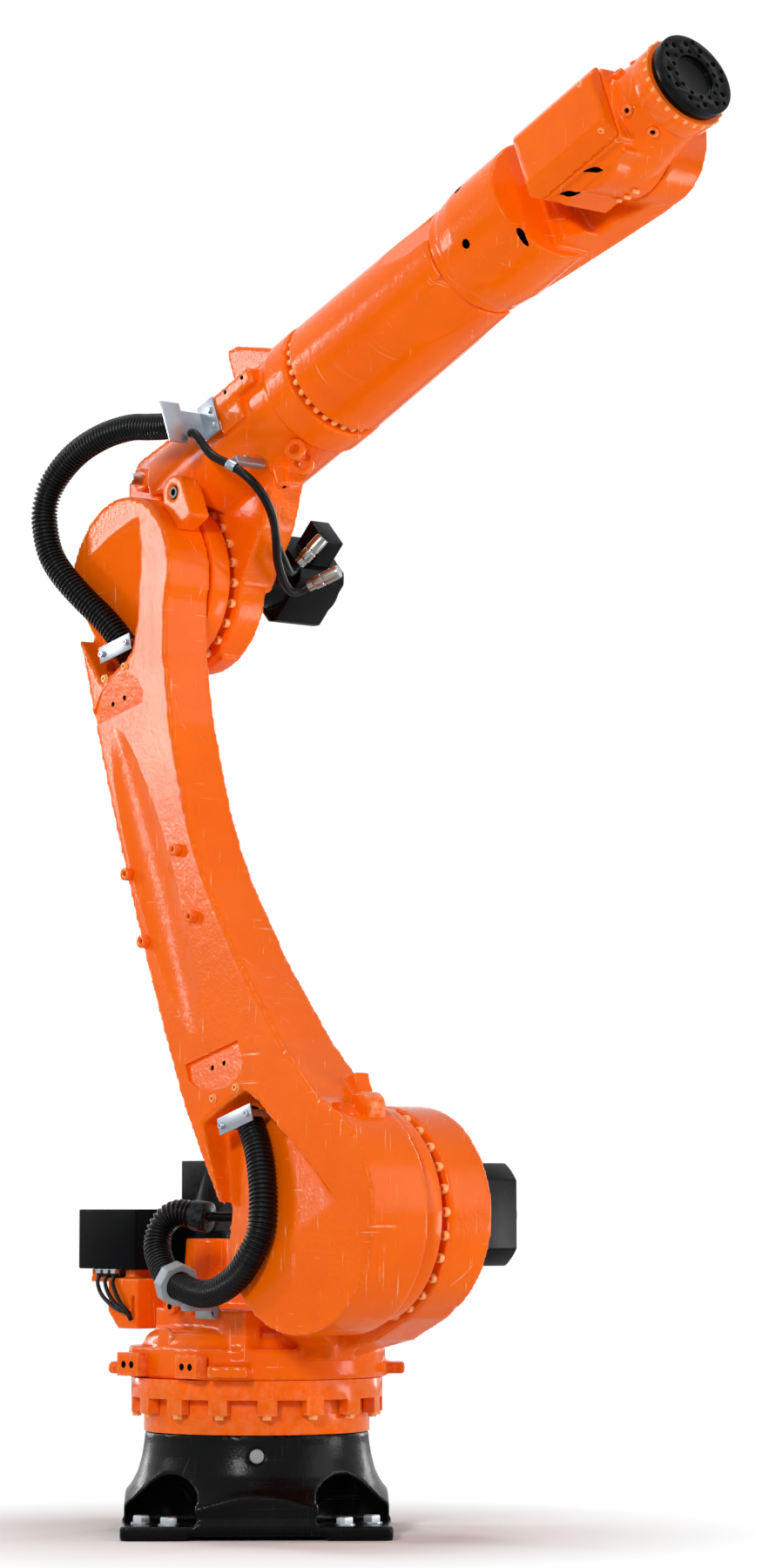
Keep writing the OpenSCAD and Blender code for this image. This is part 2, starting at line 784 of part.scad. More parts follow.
module a5_housing() {
    fork_l = wrist_x - fork_x;
    color(paint)
        frame_arm()
            translate([wrist_x, 0, arm_off])
                intersection() {
                    translate([-fork_l + seat_gap, -far, -far]) cube([2 * far, 2 * far, 2 * far]);
                    union() {
                        bar_y(hub_side + turn_gap, fork_far - 6, hub_r);
                        difference() {
                            union() {
                                bar_x(-fork_l - 20, -376, wrist_r - 6);
                                translate([-377, 0, 0])
                                    rotate([0, 90, 0]) cylinder(h = 40, r1 = wrist_r - 4, r2 = wrist_r + 2);
                                bar_x(-338, -196, wrist_r + 2);
                                intersection() {
                                    translate([-330, hub_side - 60, -hub_r + 2])
                                        cube([330, fork_w + 61, 2 * hub_r - 4]);
                                    translate([-340, 0, 0])
                                        rotate([0, 90, 0]) cylinder(h = 341, r1 = wrist_r + 1, r2 = wrist_r + 46);
                                }
                                bar_y(hub_side + turn_gap, fork_far, hub_r);
                            }
                            translate([0, -130, -far]) cylinder(h = 2 * far, r = scoop_wrist_r);
                            bar_y(-far, hub_side + turn_gap, 172);
                            translate([-far, fork_far, -far]) cube([2 * far, far, 2 * far]);
                            translate([0, -far, -far]) cube([far, far + hub_side + turn_gap, 2 * far]);
                        }
                    }
                }
}

// Wrist
module wrist_block() {
    color(paint)
        frame_arm()
            translate([wrist_x, 0, arm_off])
                intersection() {
                    union() {
                        bar_y(-70, hub_side, hub_r - 2);
                        intersection() {
                            union() {
                                translate([-146, -94 + seat_gap, -70]) cube([240, 130, 146]);
                                translate([-120, -80, -86]) cube([200, 110, 174]);
                            }
                            bar_x(-160, 110, 116);
                        }
                        translate([20, 0, 0]) rotate([0, 90, 0]) cylinder(h = neck_x - 20, r1 = 98, r2 = neck_r - 5);
                    }
                    translate([-far, -94 + seat_gap, -far]) cube([2 * far, 94 - seat_gap + hub_side, 2 * far]);
                    bar_y(-far, far, 168);
                }
}

module wrist_cover() {
    color(paint)
        frame_arm()
            translate([wrist_x, 0, arm_off])
                translate([-146, -94, 0])
                    rotate([0, 0, 0])
                        difference() {
                            translate([0, -30, -68]) cube([238, 30, 146]);
                            translate([119, -30, -68]) rotate([45, 0, 0]) cube([300, 44, 44], center = true);
                            translate([119, -30, 78]) rotate([45, 0, 0]) cube([300, 30, 30], center = true);
                            translate([0, -30, 0]) rotate([0, 0, 45]) cube([34, 34, 300], center = true);
                        }
}

module wrist_bolts() {
    color(paint)
        frame_arm()
            translate([wrist_x, 0, arm_off])
                for (i = [0 : 27])
                    rotate([0, 360 / 28 * i, 0])
                        if (cos(360 / 28 * i) > 0.8 && sin(360 / 28 * i) > -0.1)
                            translate([0, 0, -hub_r + 2 - 4 - seat_gap]) bar_y(4, 16, 4);
}

module neck_ring() {
    color(paint)
        frame_arm()
            translate([wrist_x, 0, arm_off])
                bar_x(neck_x + seat_gap, flange_x - turn_gap, neck_r);
}

module tool_flange() {
    color(black)
        frame_arm()
            translate([wrist_x, 0, arm_off])
                difference() {
                    union() {
                        bar_x(flange_x, flange_x + 12, flange_d / 2 - 3);
                        bar_x(flange_x + 11, tool_x, flange_d / 2);
                    }
                    bar_x(tool_x - flange_bore_h, tool_x + 1, flange_bore_d / 2);
                    for (i = [0 : 11])
                        rotate([30 * i, 0, 0])
                            translate([0, 0, flange_pcd / 2]) bar_x(tool_x - 18, tool_x + 1, flange_hole_d / 2);
                }
}

base_frame();
base_bolts();
base_plug();
a1_gear_ring();
a1_bearing_ring();
a1_ring_bolts();
carousel();
stop_blocks();
carousel_bosses();
a1_motor();
a2_motor();
connection_box();
box_bracket();
box_leads();
hose_clamp();
hose_collar();
hose_lower();
link_arm();
a2_ring();
a2_ring_bolts();
a3_ring();
a3_ring_bolts();
hose_plate_low();
hose_plate_high();
link_bosses();
link_eye();
hose_upper();
arm_housing();
a3_motor();
hose_bracket();
motor_cable();
cable_clip();
cable_plugs();
lifting_eyes();
arm_tube();
tube_bolts();
a5_housing();
wrist_block();
wrist_cover();
wrist_bolts();
neck_ring();
tool_flange();
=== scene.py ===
"""Looks of a floor-mounted six-axis handling robot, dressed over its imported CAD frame."""

from __future__ import annotations

import json
import logging
import math
from dataclasses import dataclass
from enum import Enum
from typing import Any, Sequence

import bmesh
import bpy
from mathutils import Matrix, Vector

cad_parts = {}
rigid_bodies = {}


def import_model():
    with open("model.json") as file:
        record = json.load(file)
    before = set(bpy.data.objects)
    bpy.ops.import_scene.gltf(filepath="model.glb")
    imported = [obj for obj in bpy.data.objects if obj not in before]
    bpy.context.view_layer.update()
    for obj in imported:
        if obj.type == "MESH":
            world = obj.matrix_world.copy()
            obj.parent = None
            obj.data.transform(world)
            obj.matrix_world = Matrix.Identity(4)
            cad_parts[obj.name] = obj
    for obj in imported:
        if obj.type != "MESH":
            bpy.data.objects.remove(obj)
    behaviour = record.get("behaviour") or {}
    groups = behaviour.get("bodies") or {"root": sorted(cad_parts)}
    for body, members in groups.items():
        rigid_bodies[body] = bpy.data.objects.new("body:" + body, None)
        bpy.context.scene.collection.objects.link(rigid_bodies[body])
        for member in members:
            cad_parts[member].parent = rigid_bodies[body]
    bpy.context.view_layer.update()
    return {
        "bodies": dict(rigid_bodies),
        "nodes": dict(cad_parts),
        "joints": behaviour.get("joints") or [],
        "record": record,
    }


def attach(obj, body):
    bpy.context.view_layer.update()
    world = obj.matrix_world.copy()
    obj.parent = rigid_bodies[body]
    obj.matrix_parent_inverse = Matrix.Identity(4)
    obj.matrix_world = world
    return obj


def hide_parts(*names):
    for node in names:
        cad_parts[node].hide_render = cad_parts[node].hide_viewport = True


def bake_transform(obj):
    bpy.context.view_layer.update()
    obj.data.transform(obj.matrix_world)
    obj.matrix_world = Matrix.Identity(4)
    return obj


LOG = logging.getLogger("robot")
MM = 0.001
Point = tuple[float, float, float]
# Angles of the slew, the link and the arm in the photograph, in degrees.
TURN, LEAN, PITCH = 51.6, 25.7, 21.8
# Sizes of the drawings, in millimetres.
SHOULDER_AHEAD, SHOULDER_HEIGHT = 410.0, 592.0
LINK_LENGTH = 1344.0
WRIST_AHEAD, WRIST_RISE = 1343.0, 180.0
FLANGE_X, TOOL_X = 188.0, 215.02
# Directions of screw heads in the drawing frames.
AHEAD, BACK, NEAR, UP, DOWN = (1, 0, 0), (-1, 0, 0), (0, -1, 0), (0, 0, 1), (0, 0, -1)


class Body(Enum):
    """The moving bodies of the robot."""

    BASE = "base"
    CAROUSEL = "carousel"
    LINK = "link"
    ARM = "arm"
    FOREARM = "forearm"
    WRIST = "wrist"
    FLANGE = "flange"


class Slot(Enum):
    """The material slots of the record."""

    ORANGE = "orange_paint"
    BLACK = "black_paint"
    BOX = "black_plastic"
    HOSE = "hose_plastic"
    ZINC = "zinc_steel"
    GREY = "grey_plastic"
    SHEET = "aluminium"


class Axes(Enum):
    """The frames in which the drawings give places, in millimetres."""

    ROW = "row"
    CAROUSEL = "carousel"
    LINK = "link"
    ARM = "arm"
    WRIST = "wrist"


def frame_of(axes: Axes) -> Matrix:
    """Place of a drawing frame in the row frame.

    Args:
        axes: The drawing frame.

    Returns:
        A matrix that takes millimetres in that frame to metres in the row frame.
    """
    turn, lean, pitch = (math.radians(a) for a in (TURN, LEAN, PITCH))
    ahead = Vector((math.cos(turn), -math.sin(turn), 0))
    far = Vector((math.sin(turn), math.cos(turn), 0))
    up = Vector((0, 0, 1))
    shoulder = (ahead * SHOULDER_AHEAD + up * SHOULDER_HEIGHT) * MM
    along = up * math.cos(lean) - ahead * math.sin(lean)
    elbow = shoulder + along * LINK_LENGTH * MM
    reach = ahead * math.cos(pitch) + up * math.sin(pitch)
    rise = up * math.cos(pitch) - ahead * math.sin(pitch)
    columns = {
        Axes.ROW: (Vector((1, 0, 0)), Vector((0, 1, 0)), up, Vector()),
        Axes.CAROUSEL: (ahead, far, up, Vector()),
        Axes.LINK: (along, ahead * math.cos(lean) + up * math.sin(lean), far, shoulder),
        Axes.ARM: (reach, far, rise, elbow),
        Axes.WRIST: (reach, far, rise, elbow + (reach * WRIST_AHEAD + rise * WRIST_RISE) * MM),
    }[axes]
    matrix = Matrix.Identity(4)
    for i, column in enumerate(columns):
        scale = MM if i < 3 else 1.0
        for k in range(3):
            matrix[k][i] = column[k] * scale
    return matrix


def linear(colour: str) -> tuple[float, float, float, float]:
    """An sRGB hex colour such as #FF6A00 as linear RGBA."""
    parts = [int(colour[i : i + 2], 16) / 255 for i in (1, 3, 5)]
    return tuple(c / 12.92 if c <= 0.04045 else ((c + 0.055) / 1.055) ** 2.4 for c in parts) + (1.0,)


def add(
    tree: bpy.types.NodeTree, kind: str, inputs: dict[Any, Any] | None = None, **settings: Any
) -> bpy.types.Node:
    """Add a node with its settings and links.

    Args:
        tree: The tree that gets the node.
        kind: The node's type.
        inputs: Values or sockets for the node's inputs, by name or place.
        settings: The node's own settings.

    Returns:
        The new node.
    """
    node = tree.nodes.new(kind)
    for name, value in settings.items():
        setattr(node, name, value)
    for name, value in (inputs or {}).items():
        if isinstance(value, bpy.types.NodeSocket):
            tree.links.new(value, node.inputs[name])
        else:
            node.inputs[name].default_value = value
    return node


@dataclass(frozen=True)
class Finish:
    """A surface finish, from which a node material is made.

    The slot is the record's. The speck is the grain of the surface and the wave its broad unevenness, both in
    millimetres. A grain finer than a pixel of the render is drawn as coarse as it needs to show, and so are the
    scratches.
    """

    name: str
    slot: Slot
    colour: str
    shade: str
    roughness: float
    metallic: float = 0.0
    gloss: float = 0.5
    speck: float = 4.0
    speck_depth: float = 0.1
    wave: float = 70.0
    wave_depth: float = 0.0
    wear: str = ""
    scratch: float = 0.0
    dust: float = 0.0

    def material(self) -> bpy.types.Material:
        """The material of this finish, made once."""
        return bpy.data.materials.get(self.name) or self._make()

    def _make(self) -> bpy.types.Material:
        """Build the node material.

        Returns:
            The new material.
        """
        material = bpy.data.materials.new(self.name)
        material.use_nodes = True
        tree = material.node_tree
        tree.nodes.clear()
        place = add(tree, "ShaderNodeTexCoord").outputs["Object"]
        fog = add(tree, "ShaderNodeTexNoise", {"Vector": place, "Scale": 7.0, "Detail": 5.0, "Roughness": 0.6})
        cloud = fog.outputs["Fac"]
        tone = add(tree, "ShaderNodeMapRange", {0: cloud, 1: 0.35, 2: 0.7, 3: 0.0, 4: 1.0})
        shades = {0: tone.outputs[0], 6: linear(self.colour), 7: linear(self.shade)}
        colour = add(tree, "ShaderNodeMix", shades, data_type="RGBA").outputs[2]
        low, high = self.roughness * 0.8, self.roughness * 1.25
        rough = add(tree, "ShaderNodeMapRange", {0: cloud, 1: 0.3, 2: 0.75, 3: low, 4: high}).outputs[0]
        if self.wear:
            colour = self._worn(tree, place, colour)
        if self.scratch:
            colour, rough = self._scratched(tree, place, colour, rough)
        if self.dust:
            colour, rough = self._dusty(tree, cloud, colour, rough)
        grain = add(tree, "ShaderNodeTexNoise", {"Vector": place, "Scale": 1000 / self.speck, "Detail": 2.0})
        values = {"Strength": 1.0, "Distance": self.speck_depth * MM, "Height": grain.outputs["Fac"]}
        bump = add(tree, "ShaderNodeBump", values)
        if self.wave_depth:
            swell = add(tree, "ShaderNodeTexNoise", {"Vector": place, "Scale": 1000 / self.wave, "Detail": 3.0})
            values = {"Strength": 1.0, "Distance": self.wave_depth * MM, "Height": swell.outputs["Fac"]}
            bump = add(tree, "ShaderNodeBump", {**values, "Normal": bump.outputs[0]})
        surface = add(
            tree,
            "ShaderNodeBsdfPrincipled",
            {
                "Base Color": colour,
                "Roughness": rough,
                "Metallic": self.metallic,
                "Specular IOR Level": self.gloss,
                "Normal": bump.outputs[0],
            },
        )
        add(tree, "ShaderNodeOutputMaterial", {"Surface": surface.outputs[0]})
        return material

    def _worn(self, tree: bpy.types.NodeTree, place: Any, colour: Any) -> Any:
        """Rub the paint thin along sharp edges.

        Args:
            tree: The material's tree.
            place: Object coordinates.
            colour: The paint colour so far.

        Returns:
            The colour with worn edges.
        """
        edge = add(tree, "ShaderNodeNewGeometry").outputs["Pointiness"]
        sharp = add(tree, "ShaderNodeMapRange", {0: edge, 1: 0.53, 2: 0.60, 3: 0.0, 4: 1.0})
        patch = add(tree, "ShaderNodeTexNoise", {"Vector": place, "Scale": 60.0, "Detail": 6.0, "Roughness": 0.7})
        broken = add(tree, "ShaderNodeMapRange", {0: patch.outputs["Fac"], 1: 0.42, 2: 0.62, 3: 0.0, 4: 0.75})
        amount = add(tree, "ShaderNodeMath", {0: sharp.outputs[0], 1: broken.outputs[0]}, operation="MULTIPLY")
        shades = {0: amount.outputs[0], 6: colour, 7: linear(self.wear)}
        return add(tree, "ShaderNodeMix", shades, data_type="RGBA").outputs[2]

    def _scratched(self, tree: bpy.types.NodeTree, place: Any, colour: Any, rough: Any) -> tuple[Any, Any]:
        """Draw straight hairline scratches in four directions.

        Args:
            tree: The material's tree.
            place: Object coordinates.
            colour: The colour so far.
            rough: The roughness so far.

        Returns:
            The colour and the roughness with scratches.
        """
        total = None
        for turn, stretch, size in (
            ((0.3, 0.5, 0.2), (340.0, 9.0, 7.0), 8.0),
            ((1.1, 0.2, 0.9), (8.0, 300.0, 10.0), 9.0),
            ((0.6, 0.9, 1.4), (7.0, 10.0, 320.0), 10.0),
            ((0.2, 1.3, 0.6), (280.0, 12.0, 8.0), 11.0),
        ):
            way = add(tree, "ShaderNodeMapping", {"Vector": place, "Rotation": turn, "Scale": stretch})
            hair = add(tree, "ShaderNodeTexNoise", {"Vector": way.outputs[0], "Scale": 1.0, "Detail": 1.0})
            line = add(tree, "ShaderNodeMapRange", {0: hair.outputs["Fac"], 1: 0.69, 2: 0.75, 3: 0.0, 4: 1.0})
            values = {"Vector": place, "Scale": size, "Detail": 4.0, "Roughness": 0.7}
            spot = add(tree, "ShaderNodeTexNoise", values).outputs["Fac"]
            here = add(tree, "ShaderNodeMapRange", {0: spot, 1: 0.52, 2: 0.66, 3: 0.0, 4: self.scratch})
            part = add(tree, "ShaderNodeMath", {0: line.outputs[0], 1: here.outputs[0]}, operation="MULTIPLY")
            if total is not None:
                part = add(tree, "ShaderNodeMath", {0: total, 1: part.outputs[0]}, operation="MAXIMUM")
            total = part.outputs[0]
        shades = {0: total, 6: colour, 7: linear(self.wear)}
        colour = add(tree, "ShaderNodeMix", shades, data_type="RGBA").outputs[2]
        rough = add(tree, "ShaderNodeMath", {0: total, 1: 0.25, 2: rough}, operation="MULTIPLY_ADD").outputs[0]
        return colour, rough

    def _dusty(self, tree: bpy.types.NodeTree, cloud: Any, colour: Any, rough: Any) -> tuple[Any, Any]:
        """Let a thin film of dust settle on the upper faces.

        Args:
            tree: The material's tree.
            cloud: The broad noise.
            colour: The colour so far.
            rough: The roughness so far.

        Returns:
            The colour and the roughness with dust.
        """
        normal = add(tree, "ShaderNodeSeparateXYZ", {0: add(tree, "ShaderNodeNewGeometry").outputs["Normal"]})
        top = add(tree, "ShaderNodeMapRange", {0: normal.outputs["Z"], 1: 0.3, 2: 1.0, 3: 0.0, 4: self.dust})
        film = add(tree, "ShaderNodeMath", {0: top.outputs[0], 1: cloud}, operation="MULTIPLY").outputs[0]
        colour = add(tree, "ShaderNodeMix", {0: film, 6: colour, 7: linear("#9A938A")}, data_type="RGBA").outputs[2]
        rough = add(tree, "ShaderNodeMath", {0: film, 1: 0.5, 2: rough}, operation="MULTIPLY_ADD").outputs[0]
        return colour, rough


# Two-pack enamel sprayed on cast aluminium: glossy, with the casting's pebble showing through it.
CAST_ORANGE = Finish(
    "orange_enamel_on_casting", Slot.ORANGE, "#FF6D02", "#F86501", 0.17, gloss=0.13, speck=6.0, speck_depth=0.34,
    wave=20.0, wave_depth=0.55, wear="#FFC79A", scratch=0.85,
)
# The same enamel on turned rings and covers, which are smoother.
TURNED_ORANGE = Finish(
    "orange_enamel_on_turned_steel", Slot.ORANGE, "#FF6D02", "#F86501", 0.15, gloss=0.13, speck=3.0, speck_depth=0.12,
    wave=40.0, wave_depth=0.25, wear="#FFC08C", scratch=0.25,
)
# Bolt heads in an even pale orange colour, not metallic.
PALE_ORANGE_BOLT = Finish("pale_orange_bolt_steel", Slot.ORANGE, "#FFB36B", "#FF9A45", 0.42, speck=1.5, speck_depth=0.05)
# Black powder coat on cast iron: satin, scuffed where boots and tools touch it.
BLACK_IRON = Finish(
    "black_enamel_on_cast_iron", Slot.BLACK, "#040506", "#08090B", 0.24, gloss=0.09, speck=5.0, speck_depth=0.3,
    wave=30.0, wave_depth=0.4, wear="#4A4F55", scratch=0.25,
)
# Black anodised and lacquered motor housings.
MOTOR_BLACK = Finish(
    "black_lacquer_on_aluminium", Slot.BLACK, "#050608", "#090A0D", 0.28, gloss=0.09, speck=1.5, speck_depth=0.06,
    wear="#3A3E44",
)
# Moulded polyamide box with a fine spark-eroded grain.
BOX_PLASTIC = Finish(
    "black_moulded_polyamide", Slot.BOX, "#040507", "#07080A", 0.4, gloss=0.03, speck=1.2, speck_depth=0.08
)
# Corrugated polyamide hose, a little shiny on its ribs.
HOSE_PLASTIC = Finish(
    "black_corrugated_polyamide", Slot.HOSE, "#08090B", "#0D0F11", 0.3, gloss=0.16, speck=1.6, speck_depth=0.05,
    dust=0.06,
)
# Rubber-sheathed motor cable.
CABLE_RUBBER = Finish(
    "black_rubber_cable", Slot.HOSE, "#090A0C", "#0F1113", 0.38, gloss=0.16, speck=1.0, speck_depth=0.05
)
# Zinc-plated steel bolts: bluish white with a broken lustre.
ZINC = Finish(
    "zinc_plated_steel", Slot.ZINC, "#C9CED4", "#A9AFB7", 0.34, metallic=1.0, speck=1.6, speck_depth=0.06
)
# Blackened screws.
BLACK_STEEL = Finish(
    "black_oxide_steel", Slot.BLACK, "#0D0E12", "#14161B", 0.34, gloss=0.25, speck=1.0, speck_depth=0.04
)
# Painted shade: a near-black colour that stands in for the shade inside drilled holes, bores and slots.
PAINTED_BORE_SHADE = Finish("shadowed_bore", Slot.BLACK, "#030303", "#040404", 0.9, gloss=0.02, speck=1.0, speck_depth=0.02)
# Bent aluminium sheet, lightly brushed.
SHEET_ALUMINIUM = Finish(
    "brushed_aluminium_sheet", Slot.SHEET, "#A9B0B8", "#939AA3", 0.38, metallic=0.9, speck=1.2, speck_depth=0.05
)
# Nickel-plated brass connector shells.
NICKEL = Finish(
    "nickel_plated_brass", Slot.ZINC, "#A8A7A3", "#97968F", 0.26, metallic=1.0, speck=2.0, speck_depth=0.004
)
# Grey polyamide plug and clamp.
GREY_PLASTIC = Finish("grey_moulded_polyamide", Slot.GREY, "#9BA3A8", "#8B9398", 0.45, speck=1.2, speck_depth=0.06)


def painted(mesh: bpy.types.Mesh, finish: Finish) -> None:
    """Give a mesh one finish all over."""
    mesh.materials.clear()
    mesh.materials.append(finish.material())


def link_mesh(name: str, mesh: bpy.types.Mesh, finish: Finish | None = None) -> bpy.types.Object:
    """Put a mesh in the scene as an object at the origin.

    Args:
        name: The object's name.
        mesh: Its mesh, in metres in the row frame.
        finish: The finish it gets, if its mesh has none yet.

    Returns:
        The new object.
    """
    piece = bpy.data.objects.new(name, mesh)
    bpy.context.scene.collection.objects.link(piece)
    if finish is not None:
        painted(mesh, finish)
    return piece


def applied(piece: bpy.types.Object) -> bpy.types.Object:
    """Turn a piece and its modifiers into a plain mesh.

    Args:
        piece: A mesh object with modifiers.

    Returns:
        The same object, with the modified mesh and no modifiers.
    """
    graph = bpy.context.evaluated_depsgraph_get()
    mesh = bpy.data.meshes.new_from_object(piece.evaluated_get(graph), depsgraph=graph)
    old = piece.data
    piece.modifiers.clear()
    piece.data = mesh
    bpy.data.meshes.remove(old)
    return piece


def settle(piece: bpy.types.Object, body: Body, slot: Slot, *nodes: str) -> bpy.types.Object:
    """Give a finished piece to its body and hide the CAD nodes that it stands for.

    Args:
        piece: The finished piece.
        body: The body that carries it.
        slot: The record's slot of its finish; not used.
        nodes: The CAD nodes that it stands for.

    Returns:
        The piece.
    """
    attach(piece, body.value)
    if nodes:
        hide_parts(*nodes)
    LOG.info("%s: %d faces on %s", piece.name, len(piece.data.polygons), body.value)
    return piece


def merged_copy(frame: dict[str, Any], node: str, name: str) -> bpy.types.Object:
    """A copy of a CAD node with its loose triangles joined.

    Args:
        frame: The loaded frame.
        node: The CAD node.
        name: The copy's name.

    Returns:
        The new object.
    """
    mesh = frame["nodes"][node].data.copy()
    mesh.name = name
    work = bmesh.new()
    work.from_mesh(mesh)
    bmesh.ops.remove_doubles(work, verts=work.verts, dist=1e-5)
    bmesh.ops.dissolve_limit(work, angle_limit=math.radians(0.4), verts=work.verts, edges=work.edges)
    work.to_mesh(mesh)
    work.free()
    return link_mesh(name, mesh)


def shade(piece: bpy.types.Object, angle: float) -> None:
    """Shade smooth, with sharp edges past an angle in degrees."""
    piece.data.shade_smooth()
    piece.data.set_sharp_from_angle(angle=math.radians(angle))


def lofted(work: bmesh.types.BMesh, loops: Sequence[Sequence[Vector]]) -> None:
    """Add a closed skin through loops of equal length to a mesh.

    Args:
        work: The mesh that gets the skin.
        loops: The loops from one end to the other, each with as many points.
    """
    rings = [[work.verts.new(p) for p in loop] for loop in loops]
    count = len(rings[0])
    faces = [work.faces.new(list(reversed(rings[0]))), work.faces.new(rings[-1])]
    for low, high in zip(rings, rings[1:]):
        for i in range(count):
            k = (i + 1) % count
            faces.append(work.faces.new((low[i], low[k], high[k], high[i])))
    bmesh.ops.recalc_face_normals(work, faces=faces)


# How far a drill clears the surface, in millimetres.
CUT_RISE = 12.0


@dataclass(frozen=True)
class Cut:
    """A recess or a hole that is cut into a casting: loops of points in a drawing frame."""

    axes: Axes
    loops: tuple[tuple[Point, ...], ...]
    finish: Finish

    @staticmethod
    def drilled(axes: Axes, spot: Point, way: Point, radius: float, depth: float, finish: Finish) -> Cut:
        """A round hole.

        Args:
            axes: The drawing frame.
            spot: Where the drill meets the surface.
            way: The outward direction.
            radius: The hole's radius in millimetres.
            depth: Its depth.
            finish: The finish of its wall.

        Returns:
            The cut.
        """
        out = Vector(way).normalized()
        side = out.orthogonal().normalized()
        across = out.cross(side)
        ring = [math.pi * i / 10 for i in range(20)]
        loops = tuple(
            tuple(
                tuple(Vector(spot) + out * height + (side * math.cos(turn) + across * math.sin(turn)) * radius)
                for turn in ring
            )
            for height in (-depth, CUT_RISE)
        )
        return Cut(axes, loops, finish)

    @staticmethod
    def scooped(axes: Axes, spot: Point, out: Point, along: Point, sizes: Point, finish: Finish) -> Cut:
        """A smooth hollow, an ellipsoid sunk into the surface.

        Args:
            axes: The drawing frame.
            spot: The ellipsoid's centre.
            out: The outward direction.
            along: The direction of its length.
            sizes: Its half sizes outwards, along and across.
            finish: The finish of the hollow.

        Returns:
            The cut.
        """
        up = Vector(out).normalized()
        run = (Vector(along) - up * Vector(along).dot(up)).normalized()
        wide = up.cross(run)
        loops = []
        for i in range(17):
            tilt = math.pi * (i + 0.08) / 16.16
            height, share = math.cos(tilt) * sizes[0], math.sin(tilt)
            loops.append(
                tuple(
                    tuple(
                        Vector(spot) - up * height
                        + run * (math.cos(turn) * share * sizes[1])
                        + wide * (math.sin(turn) * share * sizes[2])
                    )
                    for turn in (math.pi * k / 32 for k in range(64))
                )
            )
        return Cut(axes, tuple(loops), finish)

    @staticmethod
    def pressed(axes: Axes, floor: Sequence[Point], way: Point, finish: Finish) -> Cut:
        """A recess with a flat, tilted floor.

        Args:
            axes: The drawing frame.
            floor: The outline of the floor.
            way: The outward direction, as long as the recess is to be cleared.
            finish: The finish of its floor and walls.

        Returns:
            The cut.
        """
        top = tuple(tuple(Vector(p) + Vector(way)) for p in floor)
        return Cut(axes, (tuple(floor), top), finish)


def carved(piece: bpy.types.Object, cuts: Sequence[Cut]) -> None:
    """Cut recesses and holes into a closed piece.

    Args:
        piece: The piece, which keeps its own finish elsewhere.
        cuts: The cuts.
    """
    for finish in dict.fromkeys(cut.finish for cut in cuts):
        work = bmesh.new()
        for cut in cuts:
            if cut.finish == finish:
                matrix = frame_of(cut.axes)
                lofted(work, [[matrix @ Vector(p) for p in loop] for loop in cut.loops])
        mesh = bpy.data.meshes.new("cutter")
        work.to_mesh(mesh)
        work.free()
        cutter = link_mesh("cutter", mesh, finish)
        hollow = piece.modifiers.new("hollow", "BOOLEAN")
        hollow.operation = "DIFFERENCE"
        hollow.solver = "EXACT"
        hollow.material_mode = "TRANSFER"
        hollow.object = cutter
        applied(piece)
        bpy.data.objects.remove(cutter)


@dataclass
class Casting:
    """A casting: its CAD form with the soft fillets of a sand mould."""

    node: str
    name: str
    body: Body
    finish: Finish
    voxel: float = 5.0
    rounds: int = 5
    cuts: tuple[Cut, ...] = ()

    def build(self, frame: dict[str, Any]) -> bpy.types.Object:
        """Remesh and smooth a copy of the node.

        Args:
            frame: The loaded frame.

        Returns:
            The casting.
        """
        piece = merged_copy(frame, self.node, self.name)
        remesh = piece.modifiers.new("skin", "REMESH")
        remesh.mode = "VOXEL"
        remesh.voxel_size = self.voxel * MM
        remesh.use_smooth_shade = True
        soft = piece.modifiers.new("fillet", "SMOOTH")
        soft.factor = 0.5
        soft.iterations = self.rounds
        applied(piece)
        painted(piece.data, self.finish)
        if self.cuts:
            carved(piece, self.cuts)
            shade(piece, 40)
        return settle(piece, self.body, self.finish.slot, self.node)


@dataclass
class Machined:
    """A turned, milled or moulded piece: its CAD form with broken edges."""

    node: str
    name: str
    body: Body
    finish: Finish
    edge: float = 1.2
    segments: int = 2
    slot: Slot | None = None

    def build(self, frame: dict[str, Any]) -> bpy.types.Object:
        """Bevel a copy of the node.

        Args:
            frame: The loaded frame.

        Returns:
            The piece.
        """
        piece = merged_copy(frame, self.node, self.name)
        bevel = piece.modifiers.new("edge", "BEVEL")
        bevel.width = self.edge * MM
        bevel.segments = self.segments
        bevel.limit_method = "ANGLE"
        bevel.angle_limit = math.radians(32)
        applied(piece)
        shade(piece, 34)
        painted(piece.data, self.finish)
        return settle(piece, self.body, self.slot or self.finish.slot, self.node)


Profile = Sequence[tuple[float, float, bool]]


def turned(name: str, profile: Profile, sides: int = 24) -> bpy.types.Mesh:
    """Turn a profile about Z, with hexagonal steps where it says so.

    Args:
        name: The mesh's name.
        profile: Radius, height and whether the step is a hexagon, in millimetres, from the outer foot inwards.
        sides: Faces round.

    Returns:
        A closed mesh in metres.
    """
    work = bmesh.new()
    rings = []
    for radius, height, hexagon in profile:
        ring = []
        for i in range(sides):
            angle = 2 * math.pi * i / sides
            r = radius / math.cos((angle + math.pi / 6) % (math.pi / 3) - math.pi / 6) if hexagon else radius
            ring.append(work.verts.new((r * math.cos(angle) * MM, r * math.sin(angle) * MM, height * MM)))
        rings.append(ring)
    for low, high in zip(rings, rings[1:]):
        for i in range(sides):
            k = (i + 1) % sides
            work.faces.new((low[i], low[k], high[k], high[i]))
    work.faces.new(list(reversed(rings[0])))
    work.faces.new(rings[-1])
    mesh = bpy.data.meshes.new(name)
    work.to_mesh(mesh)
    work.free()
    return mesh


